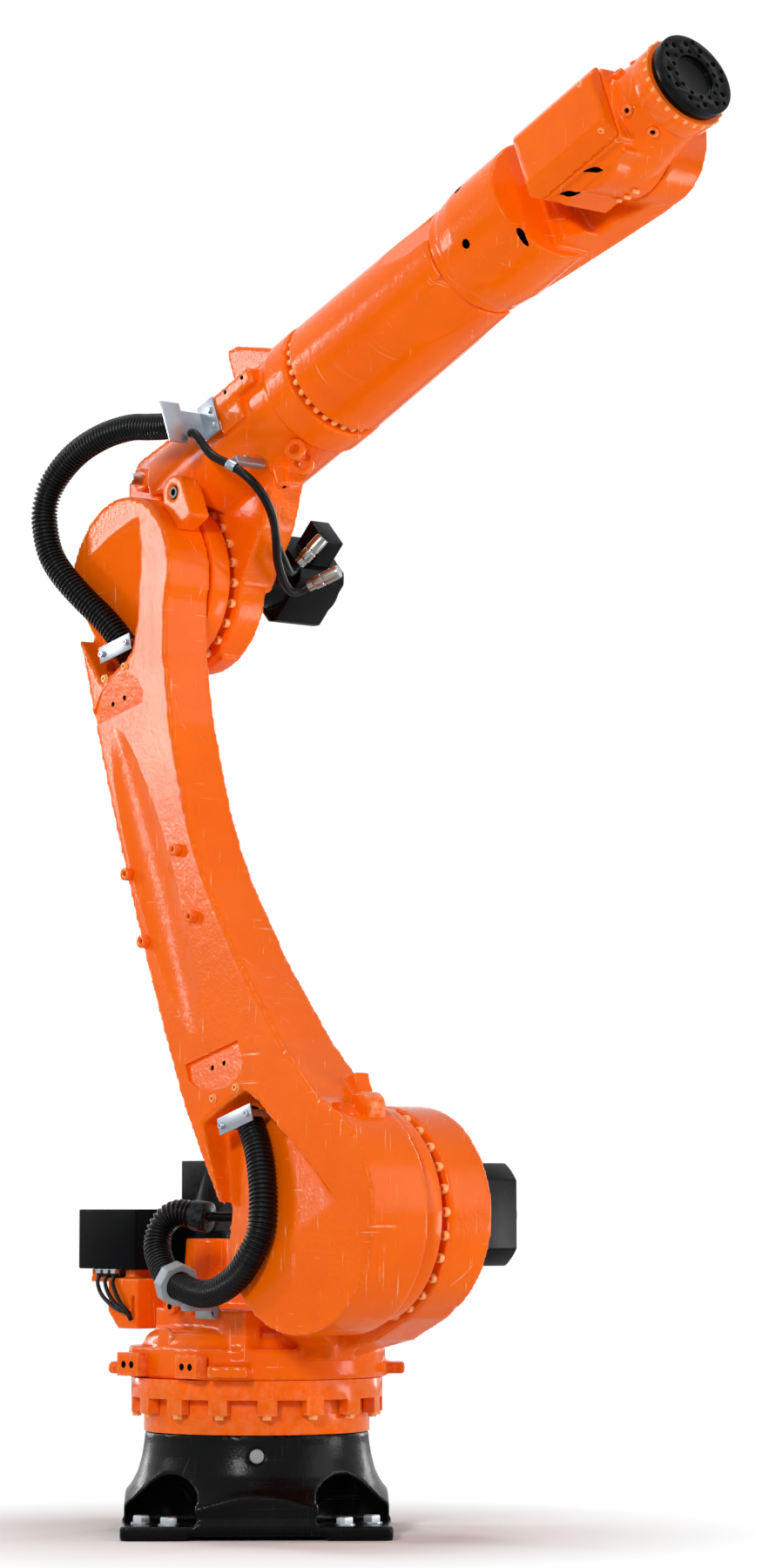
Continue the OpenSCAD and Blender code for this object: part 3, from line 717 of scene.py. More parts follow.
class Head(Enum):
    """Kinds of fastener head, flat discs of painted shade for holes, plugs and lugs."""

    SOCKET = "socket"
    HEX = "hex"
    BUTTON = "button"
    HOLE = "hole"
    PLUG = "plug"
    TALL = "tall"
    BOSS = "boss"
    LUG = "lug"

    def profile(self, size: float) -> Profile:
        """The profile of a head.

        Args:
            size: The head's diameter in millimetres.

        Returns:
            Its steps, from the outer foot inwards.
        """
        r = size / 2
        # A hole is a thin flat disc on the surface that carries the painted shade of a bore.
        if self is Head.HOLE:
            return ((r, -0.2, False), (r, 0.25, False), (r * 0.02, 0.25, False))
        steps, hexagon = HEAD_STEPS[self]
        return tuple((r * share, r * rise, i in hexagon) for i, (share, rise) in enumerate(steps))


# Radius and height of each step as shares of the head's radius, and which steps are hexagons.
HEAD_STEPS: dict[Head, tuple[Sequence[tuple[float, float]], Sequence[int]]] = {
    Head.SOCKET: (
        ((0.96, 0), (1, 0.06), (1, 0.9), (0.88, 1.05), (0.52, 1.05), (0.48, 0.98), (0.48, 0.45), (0.02, 0.4)),
        (4, 5, 6, 7),
    ),
    Head.HEX: (((1.3, 0), (1.3, 0.16), (1.0, 0.16), (1.0, 0.82), (0.98, 0.9), (0.92, 1.0), (0.02, 1.0)), (2, 3, 4)),
    Head.BUTTON: (
        ((1, 0), (0.95, 0.25), (0.75, 0.48), (0.5, 0.56), (0.42, 0.56), (0.4, 0.2), (0.02, 0.2)), (4, 5, 6),
    ),
    Head.PLUG: (((1, 0), (1, 0.35), (0.9, 0.45), (0.5, 0.5), (0.02, 0.5)), ()),
    Head.TALL: (((0.96, 0), (1, 0.06), (1, 2.1), (0.86, 2.3), (0.02, 2.3)), ()),
    Head.BOSS: (
        (
            (1.3, 0), (1.1, 0.1), (1, 0.3), (1, 0.7), (0.9, 0.8), (0.5, 0.8), (0.47, 0.74), (0.47, 0.3),
            (0.02, 0.3),
        ),
        (),
    ),
    Head.LUG: (((0.02, 0), (1, 0), (1, 1.06), (0.97, 1.16), (0.9, 1.23), (0.8, 1.26), (0.02, 1.26)), ()),
}


def new_tree(name: str, **inputs: str) -> bpy.types.NodeTree:
    """An empty Geometry Nodes tree.

    Args:
        name: The tree's name.
        inputs: The kind of each input after the geometry and the material, by name, with _ for a space.

    Returns:
        The tree, with its inputs and a geometry output.
    """
    tree = bpy.data.node_groups.new(name, "GeometryNodeTree")
    for label, kind in {"Geometry": "Geometry", "Material": "Material", **inputs}.items():
        tree.interface.new_socket(label.replace("_", " "), in_out="INPUT", socket_type="NodeSocket" + kind)
    tree.interface.new_socket("Geometry", in_out="OUTPUT", socket_type="NodeSocketGeometry")
    return tree


def end_tree(tree: bpy.types.NodeTree, shape: Any, material: Any) -> None:
    """Make a tree's shape real, give it the material and put it out.

    Args:
        tree: The tree.
        shape: The socket of the shape.
        material: The socket of the material.
    """
    real = add(tree, "GeometryNodeRealizeInstances", {"Geometry": shape})
    dressed = add(tree, "GeometryNodeSetMaterial", {"Geometry": real.outputs[0], "Material": material})
    add(tree, "NodeGroupOutput", {"Geometry": dressed.outputs[0]})


def fastener_tree() -> bpy.types.NodeTree:
    """A tree that sets a head on each point, aimed along its own direction.

    Returns:
        The tree, made once.
    """
    tree = bpy.data.node_groups.get("set_fasteners")
    if tree:
        return tree
    tree = new_tree("set_fasteners", Head="Object", Size="Float")
    given = add(tree, "NodeGroupInput").outputs
    head = add(tree, "GeometryNodeObjectInfo", {"Object": given["Head"]})
    aim = add(tree, "GeometryNodeInputNamedAttribute", {"Name": "aim"}, data_type="FLOAT_VECTOR")
    turn = add(tree, "FunctionNodeAlignRotationToVector", {"Vector": aim.outputs[0]}, axis="Z")
    values = {"Points": given["Geometry"], "Instance": head.outputs["Geometry"], "Rotation": turn.outputs[0]}
    placed = add(tree, "GeometryNodeInstanceOnPoints", {**values, "Scale": given["Size"]})
    end_tree(tree, placed.outputs[0], given["Material"])
    return tree


def grown(seed: bpy.types.Object, tree: bpy.types.NodeTree, values: dict[str, Any], name: str) -> bpy.types.Object:
    """Run a Geometry Nodes tree on a seed object and keep its mesh.

    Args:
        seed: The object with the points or the curve, which is removed.
        tree: The tree.
        values: The tree's inputs, by name.
        name: The result's name.

    Returns:
        A plain mesh object.
    """
    grow = seed.modifiers.new("grow", "NODES")
    grow.node_group = tree
    for item in tree.interface.items_tree:
        if item.in_out == "INPUT" and item.name in values:
            grow[item.identifier] = values[item.name]
    graph = bpy.context.evaluated_depsgraph_get()
    mesh = bpy.data.meshes.new_from_object(seed.evaluated_get(graph), depsgraph=graph)
    mesh.name = name
    seed.modifiers.clear()
    bpy.data.objects.remove(seed)
    return link_mesh(name, mesh)


@dataclass
class Fasteners:
    """A set of like fasteners on one body."""

    name: str
    body: Body
    axes: Axes
    head: Head
    size: float
    finish: Finish
    spots: list[tuple[Point, Point]]
    nodes: tuple[str, ...] = ()

    def build(self) -> bpy.types.Object:
        """Set a head on each spot.

        Returns:
            The joined fasteners.
        """
        matrix = frame_of(self.axes)
        mesh = bpy.data.meshes.new(self.name + "_spots")
        mesh.from_pydata([matrix @ Vector(p) for p, _ in self.spots], [], [])
        aim = mesh.attributes.new("aim", "FLOAT_VECTOR", "POINT")
        turn = matrix.to_3x3() * (1 / MM)
        for i, (_, way) in enumerate(self.spots):
            aim.data[i].vector = (turn @ Vector(way)).normalized()
        head = link_mesh(self.name + "_head", turned(self.name + "_head", self.head.profile(self.size)))
        shade(head, 30)
        values = {"Head": head, "Size": 1.0, "Material": self.finish.material()}
        piece = grown(link_mesh(self.name + "_seed", mesh), fastener_tree(), values, self.name)
        bpy.data.objects.remove(head)
        return settle(piece, self.body, self.finish.slot, *self.nodes)


def ring_spots(
    centre: Point, radius: float, count: int, first: float, plane: str, way: Point
) -> list[tuple[Point, Point]]:
    """Spots on a bolt circle.

    Args:
        centre: The circle's centre, in millimetres.
        radius: The circle's radius.
        count: The number of spots.
        first: The angle of the first spot, in degrees.
        plane: The two axes in which the circle lies, such as xy.
        way: The direction of the heads.

    Returns:
        Each spot with its direction.
    """
    a, b = ("xyz".index(c) for c in plane)
    spots = []
    for i in range(count):
        angle = math.radians(first + 360 * i / count)
        point = list(centre)
        point[a] += radius * math.cos(angle)
        point[b] += radius * math.sin(angle)
        spots.append((tuple(point), way))
    return spots


def flowed(points: Sequence[Vector], steps: int) -> list[Vector]:
    """A smooth line through points.

    Args:
        points: The points.
        steps: The number of steps between each two.

    Returns:
        The line's points.
    """
    line = []
    last = len(points) - 1
    for i in range(last):
        p0, p1, p2, p3 = (points[min(max(k, 0), last)] for k in (i - 1, i, i + 1, i + 2))
        for j in range(steps):
            t = j / steps
            square = (2 * p0 - 5 * p1 + 4 * p2 - p3) * t * t
            cube = (3 * p1 - p0 - 3 * p2 + p3) * t**3
            line.append(0.5 * (2 * p1 + (p2 - p0) * t + square + cube))
    return line + [points[last]]


def hose_tree() -> bpy.types.NodeTree:
    """A tree that sweeps a ribbed tube along a curve.

    Returns:
        The tree, made once.
    """
    tree = bpy.data.node_groups.get("ribbed_hose")
    if tree:
        return tree
    tree = new_tree("ribbed_hose", Radius="Float", Rib_depth="Float", Rib_pitch="Float", Sides="Int")
    given = add(tree, "NodeGroupInput").outputs
    step = add(tree, "ShaderNodeMath", {0: given["Rib pitch"], 1: 8.0}, operation="DIVIDE").outputs[0]
    even = add(tree, "GeometryNodeResampleCurve", {"Curve": given["Geometry"], "Length": step}, mode="LENGTH")
    at = add(tree, "GeometryNodeSplineParameter").outputs["Length"]
    share = add(tree, "ShaderNodeMath", {0: at, 1: given["Rib pitch"]}, operation="DIVIDE")
    angle = add(tree, "ShaderNodeMath", {0: share.outputs[0], 1: 2 * math.pi}, operation="MULTIPLY")
    wave = add(tree, "ShaderNodeMath", {0: angle.outputs[0]}, operation="COSINE")
    flat = add(tree, "ShaderNodeMath", {0: wave.outputs[0], 1: 1.7}, operation="MULTIPLY")
    crest = add(tree, "ShaderNodeClamp", {"Value": flat.outputs[0], "Min": -1.0, "Max": 1.0}).outputs[0]
    half = add(tree, "ShaderNodeMath", {0: given["Rib depth"], 1: 0.5}, operation="MULTIPLY").outputs[0]
    middle = add(tree, "ShaderNodeMath", {0: given["Radius"], 1: half}, operation="SUBTRACT").outputs[0]
    radius = add(tree, "ShaderNodeMath", {0: crest, 1: half, 2: middle}, operation="MULTIPLY_ADD").outputs[0]
    ring = add(tree, "GeometryNodeCurvePrimitiveCircle", {"Resolution": given["Sides"], "Radius": 1.0})
    values = {"Curve": even.outputs[0], "Profile Curve": ring.outputs[0], "Scale": radius, "Fill Caps": True}
    tube = add(tree, "GeometryNodeCurveToMesh", values)
    smooth = add(tree, "GeometryNodeSetShadeSmooth", {"Geometry": tube.outputs[0]})
    end_tree(tree, smooth.outputs[0], given["Material"])
    return tree


def swept(name: str, line: Sequence[Vector], diameter: float, finish: Finish, ribs: bool) -> bpy.types.Object:
    """Sweep a hose or a cable along a line.

    Args:
        name: The piece's name.
        line: Its centreline in metres.
        diameter: Its diameter in millimetres.
        finish: Its finish.
        ribs: Whether it is corrugated.

    Returns:
        The piece.
    """
    curve = bpy.data.curves.new(name + "_line", "CURVE")
    curve.dimensions = "3D"
    spline = curve.splines.new("POLY")
    spline.points.add(len(line) - 1)
    for point, place in zip(spline.points, line):
        point.co = (*place, 1.0)
    seed = bpy.data.objects.new(name + "_line", curve)
    bpy.context.scene.collection.objects.link(seed)
    depth, pitch, sides = (4.4, 8.4, 28) if ribs else (0.0, 24.0, 16)
    values = {
        "Radius": diameter * MM / 2, "Rib depth": depth * MM, "Rib pitch": pitch * MM, "Sides": sides,
        "Material": finish.material(),
    }
    return grown(seed, hose_tree(), values, name)


@dataclass
class Hose:
    """A hose or cable along its route in a drawing frame."""

    name: str
    node: str
    body: Body
    axes: Axes
    diameter: float
    route: list[Point]
    finish: Finish
    ribs: bool = True
    bends: tuple[Body, Body] | None = None
    stiffness: str = "stiff"

    def build(self) -> bpy.types.Object:
        """Returns:
            The hose.
        """
        line = flowed([frame_of(self.axes) @ Vector(p) for p in self.route], 8)
        piece = swept(self.name, line, self.diameter, self.finish, self.ribs)
        if self.bends:
            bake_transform(piece)
            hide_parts(self.node)
        else:
            settle(piece, self.body, Slot.HOSE, self.node)
        return piece


LOW_ROUTE: list[Point] = [
    (238, -214, 773), (258, -219, 749), (287, -228, 713), (315, -240, 661), (332, -251, 607), (335, -259, 562),
    (318, -266.9, 519), (279, -267.6, 481), (222, -266, 455), (165, -262, 448), (104, -255, 458), (53, -248, 473),
    (13, -238, 502), (-12, -228, 533), (-16, -217, 566), (-2, -207, 587), (19, -197, 595), (45, -186, 591),
]
HIGH_ROUTE: list[Point] = [
    (-176, -174, 1656), (-201, -182, 1694), (-232, -195, 1732), (-275, -213, 1775), (-318, -228, 1820),
    (-351, -236, 1864), (-366, -240, 1909), (-371, -240, 1955), (-358, -236, 1998), (-325, -229, 2036),
    (-275, -222, 2066), (-210, -213, 2086), (-143, -204, 2093), (-90, -197, 2088), (-44, -192, 2084),
    (-10.9, -190, 2088),
]
CABLE_ROUTE: list[Point] = [
    (272.1, -178, 173), (285, -178, 160), (298, -166, 113), (330, -150, 72), (348, -132, 36), (344, -105, 4),
    (316, -70, -20), (272, -34, -38), (228, -4, -62), (196, 28, -86), (181, 54, -96), (184, 74, -95), (195, 84, -91),
]
CABLE_BRANCH: list[Point] = [(264, -28, -43), (222, 20, -56), (190, 56, -58), (180, 74, -50), (185, 84, -39)]


@dataclass
class Assembly:
    """A sub-assembly: its castings, its machined pieces and its fasteners."""

    def castings(self) -> list[Casting]:
        """The castings, none unless a sub-assembly has some."""
        return []

    def machined(self) -> list[Machined]:
        """The turned, milled, bent and moulded pieces."""
        return []

    def fasteners(self) -> list[Fasteners]:
        """The bolts, screws and bores."""
        return []

    def build(self, frame: dict[str, Any]) -> None:
        """Build every piece.

        Args:
            frame: The loaded frame.
        """
        for part in (*self.castings(), *self.machined()):
            part.build(frame)
        for group in self.fasteners():
            group.build()


@dataclass
class Foot(Assembly):
    """The black foot with the fixed ring, the floor bolts and a plug."""

    bolt: float = 30.0
    bolt_corner: tuple[tuple[float, float], ...] = ((212, 161), (161, 212))
    bolt_seat: float = 26.2
    plug: float = 27.0
    plug_spot: Point = (0, -206.2, 150)

    def castings(self) -> list[Casting]:
        """The foot."""
        return [Casting("base_frame", "cast_foot", Body.BASE, BLACK_IRON, 4.0, 4)]

    def machined(self) -> list[Machined]:
        """The fixed ring under the bearing."""
        return [Machined("a1_gear_ring", "gear_ring", Body.BASE, TURNED_ORANGE, 2.0)]

    def fasteners(self) -> list[Fasteners]:
        """Two floor bolts in each corner, and the plug.

        Returns:
            The groups of fasteners, in the order in which they are set.
        """
        on, bolts = (Body.BASE, Axes.ROW), []
        for quarter in range(4):
            for x, y in self.bolt_corner:
                for _ in range(quarter):
                    x, y = -y, x
                bolts.append(((x, y, self.bolt_seat), UP))
        plug = [(self.plug_spot, NEAR)]
        return [
            Fasteners("floor_bolts", *on, Head.HEX, self.bolt, ZINC, bolts, ("base_bolts",)),
            Fasteners("foot_plug", *on, Head.PLUG, self.plug, GREY_PLASTIC, plug, ("base_plug",)),
        ]


@dataclass
class Carousel(Assembly):
    """The turning casting with its bearing ring, two motors, connection box and hose holders."""

    bearing_circle: float = 226.0
    shoulder_circle: float = 186.0
    block_centres: tuple[float, float] = (-82, 96)
    block_holes: tuple[float, float] = (-12, 12)
    boss_centres: tuple[float, float] = (-40, 18)
    nut_pitch: float = 24.0

    def castings(self) -> list[Casting]:
        """The carousel and the bracket of its box.

        Returns:
            The castings, in the order in which they are built.
        """
        return [
            Casting("carousel", "cast_carousel", Body.CAROUSEL, CAST_ORANGE, 4.5, 5),
            Casting("box_bracket", "cast_box_bracket", Body.CAROUSEL, CAST_ORANGE, 3.0, 3),
        ]

    def machined(self) -> list[Machined]:
        """The bearing ring, stop blocks, bosses, motors, box and hose holders.

        Returns:
            The pieces, in the order in which they are built.
        """
        on = Body.CAROUSEL
        return [
            Machined("a1_bearing_ring", "bearing_ring", on, TURNED_ORANGE, 2.0),
            Machined("stop_blocks", "marker_blocks", on, TURNED_ORANGE, 3.0, 3),
            Machined("carousel_bosses", "carousel_screw_bosses", on, TURNED_ORANGE, 1.5),
            Machined("a1_motor", "turning_motor", on, MOTOR_BLACK, 3.0, 3),
            Machined("a2_motor", "shoulder_motor", on, MOTOR_BLACK, 3.0, 3),
            Machined("connection_box", "terminal_box", on, BOX_PLASTIC, 3.0, 3),
            Machined("box_leads", "terminal_leads", on, CABLE_RUBBER, 0.4, 1),
            Machined("hose_clamp", "hose_saddle", on, GREY_PLASTIC, 2.0),
            Machined("hose_collar", "hose_elbow", on, MOTOR_BLACK, 1.5, slot=Slot.BOX),
        ]

    def fasteners(self) -> list[Fasteners]:
        """The bolts of the bearing and of the shoulder, the marker boss, bores and terminal nuts.

        Returns:
            The groups of fasteners, in the order in which they are set.
        """
        on, drum = (Body.CAROUSEL, Axes.CAROUSEL), (Body.CAROUSEL, Axes.LINK)
        bearing = ring_spots((0, 0, 224.4), self.bearing_circle, 16, 11.25, "xy", DOWN)
        shoulder = ring_spots((0, 0, -40.2), self.shoulder_circle, 28, 11.5, "xy", DOWN)
        marker = [((-9.7, -205, 362), (0, -1, 0.1))]
        blocks = [((x + k, -243.4, 313.6), NEAR) for x in self.block_centres for k in self.block_holes]
        bosses = [((x, -177.4, 421), NEAR) for x in self.boss_centres]
        nuts = [((-347 + self.nut_pitch * i, -112, 486.6), DOWN) for i in range(3)]
        return [
            Fasteners("bearing_bolts", *on, Head.HEX, 16, PALE_ORANGE_BOLT, bearing, ("a1_ring_bolts",)),
            Fasteners("shoulder_ring_bolts", *drum, Head.SOCKET, 18, PALE_ORANGE_BOLT, shoulder, ("a2_ring_bolts",)),
            Fasteners("marker_boss", *on, Head.PLUG, 40, TURNED_ORANGE, marker),
            # Dark discs of painted shade in the bores of the stop blocks and deck bosses.
            Fasteners("stop_block_bores", *on, Head.HOLE, 12.8, PAINTED_BORE_SHADE, blocks),
            Fasteners("deck_boss_bores", *on, Head.HOLE, 11.6, PAINTED_BORE_SHADE, bosses),
            Fasteners("terminal_nuts", *on, Head.HEX, 17, ZINC, nuts),
        ]


@dataclass
class Link(Assembly):
    """The long link with both rings, hose plates, screw seats, flute, lug and eye.

    The near face rises along the link. The flute and the hollow by the lug are ellipsoids with these half sizes.
    """

    face_start: float = -240.0
    face_rise: float = 0.03077
    flute: Point = (23, 396, 70)
    hollow: Point = (26, 33, 30)
    lug: float = 62.0

    def _face(self, run: float) -> float:
        """Height of the near face at a place along the link, in millimetres."""
        return self.face_start + (run - 200) * self.face_rise

    def _cuts(self) -> tuple[Cut, ...]:
        """The screw seats and the flute on the face, the hollow by the lug and the drilled holes.

        Returns:
            The cuts.
        """
        low = [(392, -179), (361, -20), (315, -21), (298, -46), (295, -80), (308, -122), (330, -158), (360, -181)]
        high = [
            (1124, -190), (1085, -28), (1104, -18), (1140, -24), (1168, -52), (1180, -98), (1172, -140), (1150, -174),
        ]
        floors = (
            [(l, w, self._face(l) + 0.4 + 6.6 * (l + 0.195 * (w + 100) - 302) / 75) for l, w in low],
            [(l, w, self._face(l) + 0.4 + 6.6 * (1182 - l - 0.228 * (w + 100)) / 80) for l, w in high],
        )
        out = (self.face_rise, 0, -1)
        flute = (757, -128, self._face(757) - 13)
        holes = ((351, -112), (343, -77), (1135, -118), (1127, -81))
        return (
            *(Cut.pressed(Axes.LINK, floor, (0, 0, -30), CAST_ORANGE) for floor in floors),
            Cut.scooped(Axes.LINK, flute, out, AHEAD, self.flute, CAST_ORANGE),
            Cut.scooped(Axes.LINK, (128, 184, -206), (0.54, 0.84, 0), UP, self.hollow, CAST_ORANGE),
            # Drilled holes whose walls carry painted shade.
            *(Cut.drilled(Axes.LINK, (l, w, self._face(l) + 3), out, 5.0, 14, PAINTED_BORE_SHADE) for l, w in holes),
        )

    def castings(self) -> list[Casting]:
        """The link and its eye.

        Returns:
            The castings, in the order in which they are built.
        """
        return [
            Casting("link_arm", "cast_link", Body.LINK, CAST_ORANGE, 5.0, 5, self._cuts()),
            Casting("link_eye", "cast_link_eye", Body.LINK, CAST_ORANGE, 3.0, 14),
        ]

    def machined(self) -> list[Machined]:
        """Both rings, the hose plates and the screw bosses.

        Returns:
            The pieces, in the order in which they are built.
        """
        on = Body.LINK
        return [
            Machined("a2_ring", "shoulder_ring", on, TURNED_ORANGE, 2.5, 3),
            Machined("a3_ring", "elbow_ring", on, TURNED_ORANGE, 2.5, 3),
            Machined("hose_plate_low", "lower_hose_plate", on, SHEET_ALUMINIUM, 0.8),
            Machined("hose_plate_high", "upper_hose_plate", on, SHEET_ALUMINIUM, 0.8),
            Machined("link_bosses", "link_screw_bosses", on, TURNED_ORANGE, 1.5),
        ]

    def fasteners(self) -> list[Fasteners]:
        """Screws of the hose plates and seats, bores of the bosses, the lug and the pin in the eye.

        Returns:
            The groups of fasteners, in the order in which they are set.
        """
        on, out = (Body.LINK, Axes.LINK), (self.face_rise, 0, -1)
        plates = [(232.5, -112, -248.1), (219.5, -36, -248.1), (1237.5, -103, -209.3), (1218.5, -27, -209.3)]
        seats = [(l, w, self._face(l) + 0.2) for l, w in ((295, -126), (283, -57), (1190, -116), (1178, -50))]
        bosses = [(l, w, self._face(l) - 9) for l, w in ((770, -40), (802, -192), (631, -46), (659, -196))]
        bores = [((l, w, s - 2.2), out) for l, w, s in seats]
        return [
            Fasteners("hose_plate_screws", *on, Head.SOCKET, 12, ZINC, [(p, DOWN) for p in plates]),
            Fasteners("link_face_screws", *on, Head.BOSS, 14, PALE_ORANGE_BOLT, [(p, out) for p in seats]),
            # Dark discs of painted shade in the screw seats and the boss bores.
            Fasteners("link_face_screw_bores", *on, Head.HOLE, 6.6, PAINTED_BORE_SHADE, bores),
            Fasteners("link_boss_bores", *on, Head.HOLE, 10.5, PAINTED_BORE_SHADE, [(p, out) for p in bosses]),
            Fasteners("link_lug", *on, Head.LUG, self.lug, CAST_ORANGE, [((124, 174, -140), DOWN)]),
            Fasteners("link_eye_pin", *on, Head.SOCKET, 25, BLACK_STEEL, [((1431, 180, -158), DOWN)]),
        ]


@dataclass
class Arm(Assembly):
    """The elbow casting with its motor, bent bracket, lifting eyes and the cable's connectors.

    Each connector has its place, its tip and its turn in degrees. The shell's steps are radius and height.
    """

    elbow_circle: float = 152.0
    connectors: tuple[tuple[Point, float, float], ...] = (((185.8, 84.4, -38.5), 62, 28), ((196, 84.4, -91), 88, 24))
    shell: tuple[tuple[float, float], ...] = (
        (9.0, 0.0), (11.0, 2.0), (11.0, 14.0), (12.4, 15.0), (13.4, 17.0), (13.4, 33.0), (12.2, 34.5),
        (12.2, 38.0), (13.5, 39.5), (13.5, 66.0), (12.4, 70.0), (0.2, 70.0),
    )
    shell_gap: float = 1.45

    def castings(self) -> list[Casting]:
        """The elbow casting."""
        return [Casting("arm_housing", "cast_arm", Body.ARM, CAST_ORANGE, 4.0, 5)]

    def machined(self) -> list[Machined]:
        """The motor, the bracket, the cable clip and the lifting eyes.

        Returns:
            The pieces, in the order in which they are built.
        """
        on = Body.ARM
        return [
            Machined("a3_motor", "elbow_motor", on, MOTOR_BLACK, 3.0, 3),
            Machined("hose_bracket", "hose_bracket_sheet", on, SHEET_ALUMINIUM, 0.8),
            Machined("cable_clip", "cable_clip_body", on, SHEET_ALUMINIUM, 0.8),
            Machined("lifting_eyes", "eye_rings", on, TURNED_ORANGE, 2.0),
        ]

    def fasteners(self) -> list[Fasteners]:
        """The elbow's bolts, bracket screws, ledge holes and a pin.

        Returns:
            The groups of fasteners, in the order in which they are set.
        """
        on, ring = (Body.ARM, Axes.ARM), (Body.ARM, Axes.LINK)
        elbow = ring_spots((LINK_LENGTH, 0, -40.2), self.elbow_circle, 24, 14, "xy", DOWN)
        screws = [((296, -138.6, 214), NEAR), ((298, -138.6, 180), NEAR), ((331, -112, 92.2), UP)]
        holes = [((400, -134.1, 226), NEAR), ((345, -134.1, 226), NEAR), ((337, -40, 35.8), DOWN)]
        return [
            Fasteners("elbow_ring_bolts", *ring, Head.SOCKET, 18, PALE_ORANGE_BOLT, elbow, ("a3_ring_bolts",)),
            Fasteners("bracket_screws", *on, Head.HEX, 11, ZINC, screws),
            # Dark discs of painted shade in the ledge bores.
            Fasteners("ledge_bores", *on, Head.HOLE, 8.5, PAINTED_BORE_SHADE, holes),
            Fasteners("arm_pin", *on, Head.TALL, 22, ZINC, [((-9, -84.2, 238), NEAR)]),
        ]

    def build(self, frame: dict[str, Any]) -> None:
        """Build every piece from the loaded frame, then the connectors."""
        super().build(frame)
        self._connectors()

    def _connectors(self) -> bpy.types.Object:
        """Turn both connector shells with their coupling nuts.

        Returns:
            The connectors as one piece.
        """
        work = bmesh.new()
        arm = frame_of(Axes.ARM)
        for place, tip, turn in self.connectors:
            shell = turned("connector_shell", [(r, h, False) for r, h in self.shell], 36)
            aim = Matrix.Rotation(math.radians(turn), 4, "Z") @ Matrix.Rotation(math.radians(tip), 4, "Y")
            shell.transform(Matrix.Translation(Vector((0, 0, self.shell_gap * MM))))
            shell.transform(Matrix.Scale(1 / MM, 4))
            shell.transform(arm @ Matrix.Translation(Vector(place)) @ aim)
            work.from_mesh(shell)
            bpy.data.meshes.remove(shell)
        mesh = bpy.data.meshes.new("connector_shells")
        work.to_mesh(mesh)
        work.free()
        piece = link_mesh("connector_shells", mesh, NICKEL)
        shade(piece, 30)
        return settle(piece, Body.ARM, NICKEL.slot, "cable_plugs")


@dataclass
class Forearm(Assembly):
    """The tube with its ring of bolts, and the fork."""

    split_circle: float = 109.6
    split_place: float = 520.8

    def castings(self) -> list[Casting]:
        """The tube and the fork with its drilled holes and its drain slot.

        Returns:
            The castings, in the order in which they are built.
        """
        slot = ((0, -0.7, -0.71), (0.25, -0.6, 0.6), (14, 22, 6))
        cuts = (
            # Drilled holes and a drain slot whose walls carry painted shade.
            Cut.drilled(Axes.WRIST, (-311, -112.9, -40.6), (0, -0.94, -0.34), 9, 30, PAINTED_BORE_SHADE),
            Cut.drilled(Axes.WRIST, (-316, -88, 80), (0, -0.74, 0.67), 9, 30, PAINTED_BORE_SHADE),
            Cut.scooped(Axes.WRIST, (-204, -84, -88), *slot, PAINTED_BORE_SHADE),
        )
        return [
            Casting("arm_tube", "cast_tube", Body.FOREARM, CAST_ORANGE, 3.5, 4),
            Casting("a5_housing", "cast_fork", Body.FOREARM, CAST_ORANGE, 3.2, 9, cuts),
        ]

    def fasteners(self) -> list[Fasteners]:
        """The bolts round the tube's split.

        Returns:
            The groups of fasteners, in the order in which they are set.
        """
        on = (Body.FOREARM, Axes.ARM)
        split = ring_spots((self.split_place, 0, WRIST_RISE), self.split_circle, 32, 2, "yz", BACK)
        return [Fasteners("tube_split_bolts", *on, Head.TALL, 11.5, PALE_ORANGE_BOLT, split, ("tube_bolts",))]


